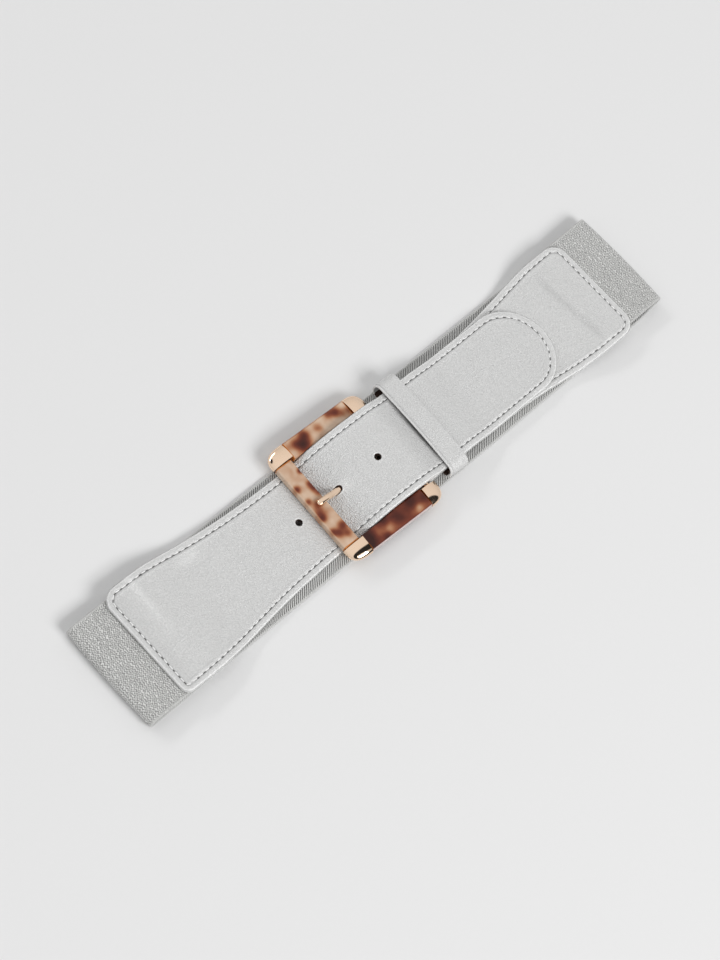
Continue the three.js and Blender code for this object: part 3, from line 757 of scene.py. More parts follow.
# %% Cutters and cuts
def face_outwards(piece):
    work = bmesh.new()
    work.from_mesh(piece.data)
    bmesh.ops.recalc_face_normals(work, faces=work.faces)
    work.to_mesh(piece.data)
    work.free()
    return piece


def cut(piece, cutters):
    for cutter in cutters:
        face_outwards(cutter)
        step = piece.modifiers.new("cut", "BOOLEAN")
        step.operation, step.solver, step.object = "DIFFERENCE", "EXACT", cutter
    bpy.context.view_layer.update()
    shape = piece.evaluated_get(bpy.context.evaluated_depsgraph_get())
    mesh = bpy.data.meshes.new_from_object(shape)
    piece.modifiers.clear()
    old, piece.data = piece.data, mesh
    bpy.data.meshes.remove(old)
    for cutter in cutters:
        bpy.data.objects.remove(cutter, do_unlink=True)
    return piece


def round_ring(count, radius_x, radius_y):
    turn = np.linspace(0, 2 * math.pi, count, endpoint=False)
    return np.stack([radius_x * np.cos(turn), radius_y * np.sin(turn)], 1)


def on_strap(x, y):
    """A place of the flat strap, moved to where the strap runs."""
    return x - y * slope_of(strap_sway, x), y + strap_sway(x)


def hole_cutter(x, radius_x, radius_y):
    rings = []
    for z in (0.0, 30.0):
        ring = round_ring(40, radius_x, radius_y)
        px, py = on_strap(x + ring[:, 0], ring[:, 1])
        rings.append(np.stack([px, py, np.full(40, z)], 1))
    return skinned("cutter", rings)


face_outwards(strap)
face_outwards(tab)
print("holes at", np.round(hole_places, 1))

# %% [markdown]
# ## The buckle's own frame
# Everything of the buckle is drawn with its hinge at the origin and its tongue end towards -X,
# and is then turned a little, as the frame lies askew and tips up on the strap beneath it.

# %% Place buckle parts
FRAME_TURN, FRAME_TIP = math.radians(-2.3), math.asin((front_bar_z - hinge_z) / (OPENING_X + FRONT_BAR / 2))
PRONG_TURN = math.radians(0.6)


def turned(points, about_z=0.0, about_y=0.0):
    matrix = Matrix.Rotation(about_z, 3, "Z") @ Matrix.Rotation(about_y, 3, "Y")
    return np.asarray(points, float) @ np.array(matrix).T


def in_frame(points):
    return turned(turned(points, about_y=FRAME_TIP), about_z=FRAME_TURN) + [HINGE_X, FRAME_Y, hinge_z]


def in_hinge(points):
    return turned(points, about_z=FRAME_TURN + PRONG_TURN) + [HINGE_X, FRAME_Y, hinge_z]


def rounded_section(half_y, half_z, radius, crown=0.0, round_steps=6, flat_steps=6):
    """A closed rounded outline in Y and Z, its long faces crowned."""
    corners = [(1, 1, 0, flat_steps), (-1, 1, 90, 2), (-1, -1, 180, flat_steps), (1, -1, 270, 2)]
    arcs = []
    for y_side, z_side, start, _ in corners:
        turn = np.radians(start + 90 * np.arange(round_steps + 1) / round_steps)
        arcs.append(np.stack([y_side * (half_y - radius) + radius * np.cos(turn),
                              z_side * (half_z - radius) + radius * np.sin(turn)], 1))
    full = []
    for arc, after, (_, _, _, steps) in zip(arcs, arcs[1:] + arcs[:1], corners):
        share = (np.arange(1, steps) / steps)[:, None]
        full += [arc, arc[-1] * (1 - share) + after[0] * share]
    full = np.concatenate(full)
    rise = crown * np.clip(1 - (full[:, 0] / half_y) ** 2, 0, None)
    full[:, 1] += np.sign(full[:, 1]) * rise * (np.abs(full[:, 1]) > 0.3 * half_z)
    return full


print("frame tips by", round(math.degrees(FRAME_TIP), 2), "degrees")

# %% [markdown]
# ## The prong
# The polished prong is a bent bar: it leaves its ring on the hinge, rises through the strap's hole
# and lies over the front bar. A spare width turns the same rings into the cutter of its room.

# %% Prong rings
PRONG_REACH = OPENING_X + 5.6
PRONG_RISE = front_bar_z + 2.5 + GAP + 1.2 - hinge_z
PRONG_ROWS = [(0.046, 0.3), (0.22, 0.3), (0.41, 0.21), (0.563, 0.143), (0.677, 0.23), (0.79, 0.52), (0.886, 0.87),
              (0.962, 1), (1, 0.97)]
prong_curve = curve_through([(-PRONG_REACH * s, PRONG_RISE * v) for s, v in PRONG_ROWS][::-1])


def prong_rings(spare=0.0, count=110):
    half_y, half_z, corner = 1.6 + spare, 1.2 + spare, 1.3 + spare
    tip_x = -PRONG_REACH - spare
    way = (1 - np.cos(np.linspace(0, math.pi / 2, 14))) * corner
    xs = np.concatenate([tip_x + way, np.linspace(tip_x + corner, -2.2, count)[1:]])
    rings = []
    for x in xs:
        z = float(prong_curve(x))
        slope = float(slope_of(prong_curve, x))
        length = math.hypot(1, slope)
        into = np.clip((x - tip_x) / corner, 0, 1)
        narrow = math.sqrt(max(1 - (1 - into) ** 2, 0.0))
        half = max(half_y - corner * (1 - narrow), half_y * 0.12)
        thick = half_z * (0.55 + 0.45 * narrow)
        section = rounded_section(half, thick, min(1.12 + spare, 0.94 * half, 0.94 * thick), 0.05, 9, 3)
        rings.append(np.stack([x - slope / length * section[:, 1], section[:, 0], z + section[:, 1] / length], 1))
    return np.array(rings)


def ring_rings(inner, outer, half, corner, count=56):
    section = rounded_section(half, (outer - inner) / 2, corner, 0.0, 5, 3)
    rings = []
    for a in np.linspace(0, 2 * math.pi, count, endpoint=False):
        radius = (inner + outer) / 2 + section[:, 1]
        rings.append(np.stack([radius * math.cos(a), section[:, 0], radius * math.sin(a)], 1))
    return np.array(rings)


def moved(rings, place):
    """The same rings with all their points moved."""
    return place(rings.reshape(-1, 3)).reshape(rings.shape)


def joined_piece(name, *parts):
    """One mesh from several (rings, joined) parts."""
    points, faces = [], []
    for rings, loop in parts:
        start = len(points)
        count, size, _ = rings.shape
        points += rings.reshape(-1, 3).tolist()
        faces += [tuple(start + k for k in face) for face in skin_faces(count, size, loop)]
    return new_piece(name, points, faces)


prong = joined_piece("prong_metal", (moved(prong_rings(), in_hinge), False),
                     (moved(ring_rings(2.4, 3.8, 1.6, 0.4), in_hinge), True))
face_outwards(prong)
print("prong points:", len(prong.data.vertices))

# %% Cut the strap's holes and the tab's slot
room_piece = skinned("cutter", moved(prong_rings(GAP, 60), in_hinge))
cut(strap, [hole_cutter(x, HOLE_R, HOLE_R) for x in hole_places] + [room_piece])
SLOT_START, SLOT_STOP, SLOT_HALF = HINGE_X - 2 * wrap_radius, HINGE_X + 5.0, 2.8
slot_rings = []
for z in (-5.0, 30.0):
    corners = np.array([(SLOT_START, -SLOT_HALF), (SLOT_STOP, -SLOT_HALF),
                        (SLOT_STOP, SLOT_HALF), (SLOT_START, SLOT_HALF)])
    slot_rings.append(np.stack([corners[:, 0] - corners[:, 1] * slope_of(tab_sway, corners[:, 0]),
                                corners[:, 1] + tab_sway(corners[:, 0]), np.full(4, z)], 1))
cut(tab, [skinned("cutter", slot_rings)])


def show_back(piece, sway, outline):
    """Gives the brown back, dark enough to paint the shade there, to faces that look down, and to the walls of holes
    and slots.
    """
    centres = np.array([face.center for face in piece.data.polygons]) / MM - SHIFT
    normals = np.array([face.normal for face in piece.data.polygons])
    flat_y = centres[:, 1] - sway(centres[:, 0])
    flat_x = centres[:, 0] + flat_y * slope_of(sway, centres[:, 0])
    inside = way_to_edge(np.stack([flat_x, flat_y], 1), outline) > 1.0
    back = inside & (normals[:, 2] < 0.5)
    piece.data.materials.append(brown_back_and_shade)
    piece.data.polygons.foreach_set("material_index", back.astype(np.int32))
    print(piece.name, "faces of the back:", int(back.sum()))


for piece in (strap, tab):
    mark_sharp(piece, 50)
finish_piece(strap, leather, "leather", "hole_strap")
finish_piece(tab, leather, "leather", "buckle_tab")
show_back(strap, strap_sway, strap_outline)

# %% [markdown]
# ## The keeper
# A narrow closed loop of the same leather, with a pressed line near its buckle-side edge. It is one
# short section carried round a rounded rectangle, so it can close on itself without a seam.

# %% Keeper mesh
KEEPER_WIDTH, KEEPER_HALF, KEEPER_CORNER = 11.6, KEEPER_ROOM - 0.1 + KEEPER_WALL, 4.6
KEEPER_LOW = BAND_WALL + GAP
KEEPER_HIGH, KEEPER_BOW = tab_in_keeper + strap_step + STRAP_WALL / 2 + 0.8 + KEEPER_WALL, 1.5


def loop_places(half, low, high, corner, spacing=0.9, round_steps=14):
    """Points round a rounded rectangle with the outward direction at each."""
    places = []
    for cy, cz, start in ((1, 1, 0), (-1, 1, 90), (-1, -1, 180), (1, -1, 270)):
        centre_y = cy * (half - corner)
        centre_z = high - corner if cz > 0 else low + corner
        for step in range(round_steps + 1):
            a = math.radians(start + 90 * step / round_steps)
            places.append((centre_y + corner * math.cos(a), centre_z + corner * math.sin(a), math.cos(a), math.sin(a)))
    full = []
    for here, after in zip(places, places[1:] + places[:1]):
        full.append(here)
        gap = math.hypot(after[0] - here[0], after[1] - here[1])
        steps = int(gap / spacing)
        for k in range(1, steps):
            t = k / steps
            full.append(tuple(np.array(here) * (1 - t) + np.array(after) * t))
    full = np.array(full)
    upper = np.clip((full[:, 1] - (low + high) / 2) / ((high - low) / 2), 0, 1)
    full[:, 1] += KEEPER_BOW * upper * (1 - (full[:, 0] / half) ** 2)
    return full


def keeper_section():
    """Along-belt place and lift of the band's outer and inner face, as a closed outline."""
    half = KEEPER_WIDTH / 2
    xs = np.concatenate([-half + EDGE_STEPS[EDGE_STEPS < 3.0], np.linspace(-half + 3.3, half - 3.3, 9),
                         (half - EDGE_STEPS[EDGE_STEPS < 3.0])[::-1]])
    edge = half - np.abs(xs)
    rim = np.where(xs < 0, 0.5, 0.12)
    drop = rim - np.sqrt(np.clip(rim ** 2 - np.clip(rim - edge, 0, rim) ** 2, 0, None))
    line = 0.22 * np.exp(-((xs + half - 1.3) / 0.28) ** 2)
    outer = 0.05 * np.clip(1 - (xs / half) ** 2, 0, 1) - line - drop
    outline = np.concatenate([np.stack([xs, outer], 1), [[half, -0.65]],
                              np.stack([xs, drop - KEEPER_WALL], 1)[::-1], [[-half, -0.65]]])
    return outline, np.concatenate([line / 0.22, np.zeros(len(xs) + 2)])


section, section_line_shade = keeper_section()
places = loop_places(KEEPER_HALF, KEEPER_LOW, KEEPER_HIGH, KEEPER_CORNER)
keeper_points = np.array([
    np.stack([section[:, 0], y + section[:, 1] * ny, z + section[:, 1] * nz], 1) for y, z, ny, nz in places
])
keeper_points = turned(keeper_points.reshape(-1, 3), about_z=math.radians(-2.4)) + [KEEPER_X, KEEPER_Y, 0]
keeper = skinned("keeper_leather", keeper_points.reshape(len(places), len(section), 3), joined=True)
# Painted shade in the pressed line near the buckle-side edge.
add_number(keeper, "groove", np.tile(section_line_shade, len(places)))
# Only the buckle-side edge gets the painted rim highlight.
keeper_edge = np.where(section[:, 0] < 0, 2.2 * (5.8 - np.abs(section[:, 0])), 5.0)
add_number(keeper, "edge_mm", np.tile(keeper_edge, len(places)))
face_outwards(keeper)
mark_sharp(keeper, 60)
finish_piece(keeper, leather, "leather", "keeper_loop")
# The inside faces of the keeper's top and bottom get the brown back, which paints the shade inside the keeper.
keeper.data.materials.append(brown_back_and_shade)
ring_size, face_size = len(section), (len(section) - 2) // 2
for face in keeper.data.polygons:
    inside = all(face_size < v % ring_size <= 2 * face_size for v in face.vertices)
    if inside and abs(face.center.y / MM - SHIFT[1] - KEEPER_Y) < KEEPER_HALF - 2.2:
        face.material_index = 1

# %% [markdown]
# ## The elastic
# One band of knitted elastic, folded back over itself at both ends. Its outer face is a fine
# speckled knit, its inner face has slanted ribs, and both edges are smooth and tightly knitted.
# The knit is drawn by the material from the way along and across, which the mesh carries.

# %% Elastic mesh
def band_places():
    turn = FOLD_HEIGHT / 2 - BAND_WALL / 2
    straight = FOLD_END - FOLD_HEIGHT / 2
    centre = FOLD_HEIGHT / 2
    upper = np.linspace(SEWN_X, straight, 44)
    angles = np.radians(np.linspace(90, -90, 26)[1:-1])
    lower = np.linspace(straight, -straight, 360)
    right = np.concatenate([upper, straight + turn * np.cos(angles)])
    right_z = np.concatenate([stub_height(upper), centre + turn * np.sin(angles)])
    xs = np.concatenate([right, lower, -right[::-1]])
    zs = np.concatenate([right_z, np.full(len(lower), BAND_WALL / 2), right_z[::-1]])
    return xs, zs


def band_section(half, wall):
    """Across places and offsets of one closed outline, outer face first."""
    steps = np.array([0, 0.03, 0.1, 0.2, 0.35, 0.5, 0.7, 0.9, 1.1, 1.3, 1.6, 2.0])
    ys = np.concatenate([-half + steps, np.linspace(-half + 3, half - 3, 34), (half - steps)[::-1]])
    edge = half - np.abs(ys)
    drop = 0.6 - np.sqrt(np.clip(0.36 - np.clip(0.6 - edge, 0, 0.6) ** 2, 0, None))
    bead = 0.07 * np.exp(-((edge - 0.75) / 0.3) ** 2) - 0.06 * np.exp(-((edge - 1.35) / 0.25) ** 2)
    face = wall / 2 - drop + bead
    return np.concatenate([np.stack([ys, face], 1), np.stack([ys, -face], 1)[::-1]]), len(ys)


band_x, band_z = band_places()
way = np.concatenate([[0], np.cumsum(np.hypot(np.diff(band_x), np.diff(band_z)))])
band_outline, band_face = band_section(BAND_WIDTH / 2, BAND_WALL)
tangent = np.stack([np.gradient(band_x), np.gradient(band_z)], 1)
tangent /= np.linalg.norm(tangent, axis=1)[:, None]
band_rings = []
for x, z, (tx, tz) in zip(band_x, band_z, tangent):
    ring = np.stack([x - tz * band_outline[:, 1], band_outline[:, 0], z + tx * band_outline[:, 1]], 1)
    near = np.clip((np.abs(ring[:, 0]) - (FOLD_END - 30)) / 30, 0, 1)
    bow = FOLD_BOW * (1 - (2 * ring[:, 1] / BAND_WIDTH) ** 2)
    ring[:, 0] += np.sign(ring[:, 0]) * bow * near ** 2 * (3 - 2 * near)
    ring[:, 1] += np.where(ring[:, 2] > FOLD_HEIGHT / 2, 0, band_sway(ring[:, 0]))
    band_rings.append(ring)
band_rings = np.array(band_rings)
band_rings[..., 2] = np.maximum(band_rings[..., 2], 0.0)
band = skinned("elastic_knit", band_rings)
inner = np.concatenate([np.zeros(band_face), np.ones(band_face)])
add_number(band, "inner", np.tile(inner, len(way)))
add_number(band, "across_mm", np.tile(band_outline[:, 0], len(way)))
add_number(band, "along_mm", np.repeat(way, len(band_outline)))
flat_ring = band_rings.reshape(-1, 3)
# Painted shade: a near-black disc on the elastic at the bottom of the left strap hole.
left_hole = on_strap(hole_places[0], 0.0)
from_hole = np.hypot(flat_ring[:, 0] - left_hole[0], flat_ring[:, 1] - left_hole[1])
add_number(band, "painted_hole_shade", np.exp(-(from_hole / 2.6) ** 4))
face_outwards(band)
mark_sharp(band, 60)

# %% Elastic material
def make_elastic():
    material, tree, shader = new_material("grey_elastic")
    along, across, inside = stored(tree, "along_mm"), stored(tree, "across_mm"), stored(tree, "inner")
    outer = placed(tree, knit, {"Along mm": along, "Across mm": across}, Column_mm=1.6, Loop_mm=1.2, Slant=1.3,
                   Uneven=2.6)
    one_sided = node(tree, "ShaderNodeMath", {0: across}, operation="ADD")
    one_sided.inputs[1].default_value = 60.0
    ribs = placed(tree, knit, {"Along mm": along, "Across mm": one_sided.outputs[0]}, Column_mm=400.0, Loop_mm=1.3,
                  Slant=313.0, Uneven=0.35)
    relief = node(tree, "ShaderNodeMix", {"Factor": inside}, data_type="FLOAT")
    tree.links.new(outer.outputs["Loops"], relief.inputs[2])
    tree.links.new(ribs.outputs["Loops"], relief.inputs[3])
    spread = node(tree, "ShaderNodeMapRange", {"Value": relief.outputs[0]})
    spread.inputs["From Min"].default_value = -1.0
    outer_tone = ramp(tree, spread.outputs["Result"], [(0.0, (0.27, 0.27, 0.264)), (0.5, (0.51, 0.51, 0.50)),
                                                        (1.0, (0.75, 0.75, 0.735))])
    inner_tone = ramp(tree, spread.outputs["Result"], [(0.0, (0.07, 0.07, 0.068)), (0.5, (0.39, 0.39, 0.38)),
                                                        (1.0, (0.80, 0.80, 0.785))])
    faces = node(tree, "ShaderNodeMix", {"Factor": inside}, data_type="RGBA")
    tree.links.new(outer_tone.outputs["Color"], faces.inputs[6])
    tree.links.new(inner_tone.outputs["Color"], faces.inputs[7])
    fleck = ramp(tree, outer.outputs["Speckle"], [(0.32, 0.90), (0.5, 0.98),
                                                   (0.68, 1.06)])
    outside = node(tree, "ShaderNodeMath", {1: inside}, operation="SUBTRACT")
    outside.inputs[0].default_value = 1.0
    flecked = node(tree, "ShaderNodeMix", {"Factor": outside.outputs[0], 6: faces.outputs[2],
                                           7: fleck.outputs["Color"]}, data_type="RGBA", blend_type="MULTIPLY")
    size = node(tree, "ShaderNodeMath", {0: across}, operation="ABSOLUTE")
    edge = node(tree, "ShaderNodeMapRange", {"Value": size.outputs[0]})
    edge.inputs["From Min"].default_value = BAND_WIDTH / 2 - 1.3
    edge.inputs["From Max"].default_value = BAND_WIDTH / 2 - 1.0
    full = node(tree, "ShaderNodeMix", {"Factor": edge.outputs["Result"], 6: flecked.outputs[2]}, data_type="RGBA")
    full.inputs[7].default_value = (0.56, 0.56, 0.548, 1)
    # Painted shade under the left hole.
    hole_shaded = node(tree, "ShaderNodeMix", {"Factor": stored(tree, "painted_hole_shade"), 6: full.outputs[2]}, data_type="RGBA")
    hole_shaded.inputs[7].default_value = (0.04, 0.028, 0.024, 1)
    tree.links.new(hole_shaded.outputs[2], shader.inputs["Base Color"])
    tree.links.new(bump(tree, relief.outputs[0], 0.12), shader.inputs["Normal"])
    rough = ramp(tree, outer.outputs["Speckle"], [(0.3, 0.95), (0.7, 0.8)])
    tree.links.new(rough.outputs["Color"], shader.inputs["Roughness"])
    shader.inputs["Sheen Weight"].default_value = 0.2
    shader.inputs["Sheen Roughness"].default_value = 0.5
    shader.inputs["Specular IOR Level"].default_value = 0.25
    return material


elastic = make_elastic()
finish_piece(band, elastic, "elastic", "elastic_band")

# %% [markdown]
# ## The buckle frame
# Three bars of mottled plastic meet under four polished corner caps. The bars are flat with
# rounded edges. The outer face of each side bar carries a painted highlight for its lit side, the
# front bar's outer edge a painted highlight, and the bars' ends a painted amber glow by the caps.

# %% Bars
def bar_rings(length, width, spacing=0.6):
    """A bar along X, centred, with softly closed ends."""
    half = length / 2
    ends = np.array([0, 0.1, 0.25, 0.45])
    xs = np.concatenate([-half + ends, np.linspace(-half + 0.7, half - 0.7, int(length / spacing)), (half - ends)[::-1]])
    rings = []
    for x in xs:
        near = max(0.45 - (half - abs(x)), 0) / 0.45
        shrink = 0.45 * (1 - math.sqrt(max(1 - near ** 2, 0)))
        section = rounded_section(width / 2 - shrink, 2.5 - shrink, 1.1, 0.0, 7, 9)
        rings.append(np.stack([np.full(len(section), x), section[:, 0], section[:, 1]], 1))
    return np.array(rings)


def bar_piece(name, length, width, middle, quarter_turn, base, spots, pale_side,
              fuller=None, end_glow_shift=0.0, lit=0.0):
    rings = bar_rings(length, width)
    flat = rings.reshape(-1, 3)
    # The way in from the bar's ends, shifted to narrow the painted amber glow.
    ends = length / 2 - np.abs(flat[:, 0]) + end_glow_shift
    if fuller:
        more = np.interp(flat[:, 0], *fuller) / (width / 2)
        flat[:, 1] *= np.where(flat[:, 1] * pale_side < 0, 1 + more, 1)
    if quarter_turn:
        flat = turned(flat, about_z=math.pi / 2)
    half_x, half_y = (width / 2, length / 2) if quarter_turn else (length / 2, width / 2)
    dark = np.full(len(flat), base, float)
    for x_share, y_share, reach, amount in spots:
        away = np.hypot(flat[:, 0] - x_share * half_x, flat[:, 1] - y_share * half_y) / reach
        dark += amount * np.exp(-away ** 2)
    outwards = flat[:, 0] if quarter_turn else flat[:, 1]
    # Along the outer edge: on the front bar a painted highlight, on the side bars a darker rounding.
    outer_edge_tone = np.clip((outwards * pale_side - (width / 2 - 0.95)) / 0.5, 0, 1)
    dark = dark * (1 - outer_edge_tone * (0.5 if quarter_turn else 0.0)) + (0.0 if quarter_turn else 0.12) * outer_edge_tone
    piece = skinned(name, in_frame(flat + middle).reshape(rings.shape))
    add_number(piece, "dark", dark)
    add_number(piece, "end_mm", ends)
    # A painted highlight for the lit outer side face of the side bars.
    add_number(piece, "lit_side", lit * np.clip((outwards * pale_side - (width / 2 - 0.45)) / 0.2, 0, 1))
    face_outwards(piece)
    return piece


side_start, side_end = -OPENING_X + 1.5 + GAP, -4.3 - GAP
side_middle, side_length = (side_start + side_end) / 2, side_end - side_start
SIDE_INNER, SIDE_OUTER = OPENING_Y / 2 - 0.9, OPENING_Y / 2 + SIDE_BAR + 0.5
side_y, side_width = (SIDE_INNER + SIDE_OUTER) / 2, SIDE_OUTER - SIDE_INNER
# Blotches: where they lie as shares of the bar's half sizes in X and Y, their reach in mm, how dark
FRONT_SPOTS = [
    (0.89, 0.71, 1.5, 0.5), (-0.73, 0.45, 2.0, 0.5), (0.75, 0.40, 1.7, 0.4), (0.85, 0.29, 1.9, 0.5),
    (0.9, 0.17, 1.7, 0.4), (-0.64, 0.13, 1.6, 0.35), (-0.11, -0.03, 2.4, 0.3), (-0.55, -0.20, 3.2, 0.5),
    (-0.7, -0.29, 1.8, 0.3), (0.59, -0.61, 2.5, 0.45), (-0.83, -0.61, 2.0, 0.4), (-0.35, -0.70, 2.4, 0.45),
    (0.39, -0.78, 2.0, 0.3),
]
UPPER_SPOTS = [
    (-0.58, -0.45, 3.6, 0.75), (-0.40, 0.35, 2.8, 0.50), (-0.74, 0.15, 2.4, 0.25), (0.01, 0.15, 2.5, 0.26),
    (0.64, 0.45, 2.6, 0.50), (0.46, 0.75, 2.2, 0.34), (0.80, -0.05, 2.2, 0.22), (1.0, -0.3, 2.4, 0.30),
    (-0.98, 0.3, 3.0, 0.14),
]
LOWER_SPOTS = [
    (-0.90, 0.55, 4.4, 0.55), (-0.96, -0.5, 3.2, 0.40), (0.06, 0.45, 3.8, 0.30), (-0.31, 0.85, 2.6, 0.30),
    (0.15, -0.32, 3.0, 0.14), (0.58, 0.60, 3.8, 0.36), (0.97, 0.14, 3.0, 0.35), (-0.48, -0.8, 2.2, 0.30),
    (0.66, -0.30, 2.6, -0.36), (-0.30, -0.25, 3.4, -0.22), (-0.62, 0.15, 2.4, -0.15),
]
front_bar = bar_piece("front_bar_plastic", OPENING_Y - 2 * GAP, FRONT_BAR, [-OPENING_X - FRONT_BAR / 2, 0, 0],
                      True, 0.10, FRONT_SPOTS, -1)
left_bar = bar_piece("left_bar_plastic", side_length, side_width, [side_middle, side_y, 0],
                     False, 0.10, UPPER_SPOTS, 1, ([-14, 0, 14], [0.45, 0.1, 0.0]), 0.25, 0.35)
right_bar = bar_piece("right_bar_plastic", side_length, side_width, [side_middle, -side_y, 0],
                      False, 0.46, LOWER_SPOTS, -1, ([-8.9, -2.9, 2.1], [0.0, 0.5, 1.3]), 0.6, 0.9)

# %% Tortoiseshell material
def make_tortoiseshell():
    material, tree, shader = new_material("tortoiseshell")
    place = node(tree, "ShaderNodeTexCoord").outputs["Object"]
    cloud = node(tree, "ShaderNodeTexNoise", {"Vector": place}, Scale=170.0, Detail=1.5, Roughness=0.4, Distortion=0.3)
    part = node(tree, "ShaderNodeMapRange", {"Value": cloud.outputs["Fac"]})
    part.inputs["To Min"].default_value = -0.17
    part.inputs["To Max"].default_value = 0.17
    total = node(tree, "ShaderNodeMath", {0: part.outputs["Result"], 1: stored(tree, "dark")}, operation="ADD")
    tone = ramp(tree, total.outputs[0], [
        (0.0, (0.68, 0.54, 0.42)), (0.12, (0.56, 0.39, 0.275)), (0.25, (0.42, 0.205, 0.11)),
        (0.38, (0.27, 0.088, 0.042)), (0.52, (0.155, 0.038, 0.021)), (0.70, (0.085, 0.021, 0.014)),
        (0.92, (0.040, 0.013, 0.010)),
    ])
    # A painted amber glow along each bar's ends, next to the caps.
    rim = ramp(tree, stored(tree, "end_mm"), [(0.0, 1), (0.5, 1), (0.9, 0)])
    ends = node(tree, "ShaderNodeMix", {"Factor": rim.outputs["Color"], 6: tone.outputs["Color"]}, data_type="RGBA")
    ends.inputs[7].default_value = (0.50, 0.17, 0.035, 1)
    # Painted highlight on the lit side face.
    sides = node(tree, "ShaderNodeMix", {"Factor": stored(tree, "lit_side"), 6: ends.outputs[2]}, data_type="RGBA")
    sides.inputs[7].default_value = (0.60, 0.51, 0.50, 1)
    tree.links.new(sides.outputs[2], shader.inputs["Base Color"])
    gloss = placed(tree, smears, {"Position": place}, Size=70.0, Lowest=0.12, Highest=0.22)
    tree.links.new(gloss.outputs["Roughness"], shader.inputs["Roughness"])
    shader.inputs["Specular IOR Level"].default_value = 0.2
    return material


tortoiseshell = make_tortoiseshell()
finish_piece(front_bar, tortoiseshell, "tortoiseshell", "front_bar")
finish_piece(left_bar, tortoiseshell, "tortoiseshell", "left_bar")
finish_piece(right_bar, tortoiseshell, "tortoiseshell", "right_bar")

# %% [markdown]
# ## The corner caps
# Each cap is a quarter of a low dome with a squarish plan, closed by two flat faces where the bars
# go in. The dome is sampled finely, because a mirror finish shows any facet at once.

# %% Caps
CAP_ROUND = 2.15


def cap_mesh(length_x, length_y, turn, middle, plan_steps=40, rows=34):
    points, faces = [], []
    height = 3.4
    for i in range(rows + 1):
        lift_angle = -math.pi / 2 + math.pi * i / rows
        radius = max(math.cos(lift_angle), 0) ** (2 / CAP_ROUND)
        lift = math.copysign(abs(math.sin(lift_angle)) ** (2 / CAP_ROUND), lift_angle) * height
        for k in range(plan_steps + 1):
            a = -math.pi / 2 + (math.pi / 2) * k / plan_steps
            reach = (abs(math.cos(a)) ** 3 + abs(math.sin(a)) ** 3) ** (-1 / 3)
            sx, sy = (length_y, length_x) if turn % 2 else (length_x, length_y)
            points.append((sx * radius * reach * math.cos(a), sy * radius * reach * math.sin(a), lift))
        points.append((0.0, 0.0, lift))
    ring = plan_steps + 2
    for i in range(rows):
        for k in range(ring):
            n = (k + 1) % ring
            faces.append((i * ring + k, i * ring + n, (i + 1) * ring + n, (i + 1) * ring + k))
    points = turned(points, about_z=turn * math.pi / 2) + middle
    return in_frame(points), faces


cap_places = [
    ("cap_back_right", 9.7, 0, (-4.3, -1), 0.8, "corner_cap_1"),
    ("cap_back_left", 9.7, 1, (-4.3, 1), 0.8, "corner_cap_2"),
    ("cap_front_left", 12.0, 2, (-45.1, 1), 0.0, "corner_cap_3"),
    ("cap_front_right", 12.0, 3, (-45.1, -1), 0.0, "corner_cap_4"),
]
caps = []
for name, length, turn, (x, side), inwards, replaced in cap_places:
    points, faces = cap_mesh(length, SIDE_BAR + 0.9 + inwards, turn, [x, side * (OPENING_Y / 2 - inwards), 0])
    cap = new_piece(name, points, faces)
    work = bmesh.new()
    work.from_mesh(cap.data)
    bmesh.ops.remove_doubles(work, verts=work.verts, dist=1e-6)
    bmesh.ops.recalc_face_normals(work, faces=work.faces)
    work.to_mesh(cap.data)
    work.free()
    mark_sharp(cap, 50)
    caps.append((cap, replaced))
print("caps:", len(caps))

# %% Gold material
def make_gold():
    material, tree, shader = new_material("rose_gold")
    place = node(tree, "ShaderNodeTexCoord").outputs["Object"]
    gloss = placed(tree, smears, {"Position": place}, Size=140.0, Lowest=0.04, Highest=0.12)
    tree.links.new(gloss.outputs["Roughness"], shader.inputs["Roughness"])
    tint = node(tree, "ShaderNodeTexNoise", {"Vector": place}, Scale=80.0, Detail=2.0)
    tone = ramp(tree, tint.outputs["Fac"], [(0.3, (0.95, 0.71, 0.52)), (0.7, (0.97, 0.74, 0.56))])
    tree.links.new(tone.outputs["Color"], shader.inputs["Base Color"])
    shader.inputs["Metallic"].default_value = 1.0
    wear = node(tree, "ShaderNodeTexNoise", {"Vector": place}, Scale=900.0, Detail=2.0)
    tree.links.new(bump(tree, wear.outputs["Fac"], 0.0015), shader.inputs["Normal"])
    return material


gold = make_gold()
for cap, replaced in caps:
    finish_piece(cap, gold, "gold", replaced)
mark_sharp(prong, 40)
finish_piece(prong, gold, "gold", "prong")
hinge_rings = []
for y, radius in ((-29.4, 1.7), (-29.0, 2.1), (29.0, 2.1), (29.4, 1.7)):
    ring = round_ring(40, radius, radius)
    hinge_rings.append(np.stack([ring[:, 0], np.full(40, y), ring[:, 1]], 1))
hinge = skinned("hinge_bar_metal", moved(np.array(hinge_rings), in_frame))
face_outwards(hinge)
mark_sharp(hinge, 50)
finish_piece(hinge, gold, "gold", "hinge_bar")

# %% [markdown]
# ## Stitching
# A seam is a row of short threads that dive into needle holes. Each thread is a small rod that sinks
# at both ends, and a dark rod between two threads paints the shade in and around the needle's hole.
# The row runs at a steady way in from the outline, so it is found by moving the outline inwards.

# %% The seam's path
def seam_path(outline, way_in, keep):
    """The outline moved inwards by each point's own way, without what comes closer than that to an edge."""
    ahead, behind = np.roll(outline, -1, axis=0), np.roll(outline, 1, axis=0)
    along = ahead - behind
    along /= np.maximum(np.linalg.norm(along, axis=1), 1e-9)[:, None]
    inwards = np.stack([-along[:, 1], along[:, 0]], 1)
    path = outline + way_in[:, None] * inwards
    good = way_to_edge(path, outline) > way_in - 0.03
    return path[good & keep(path)]


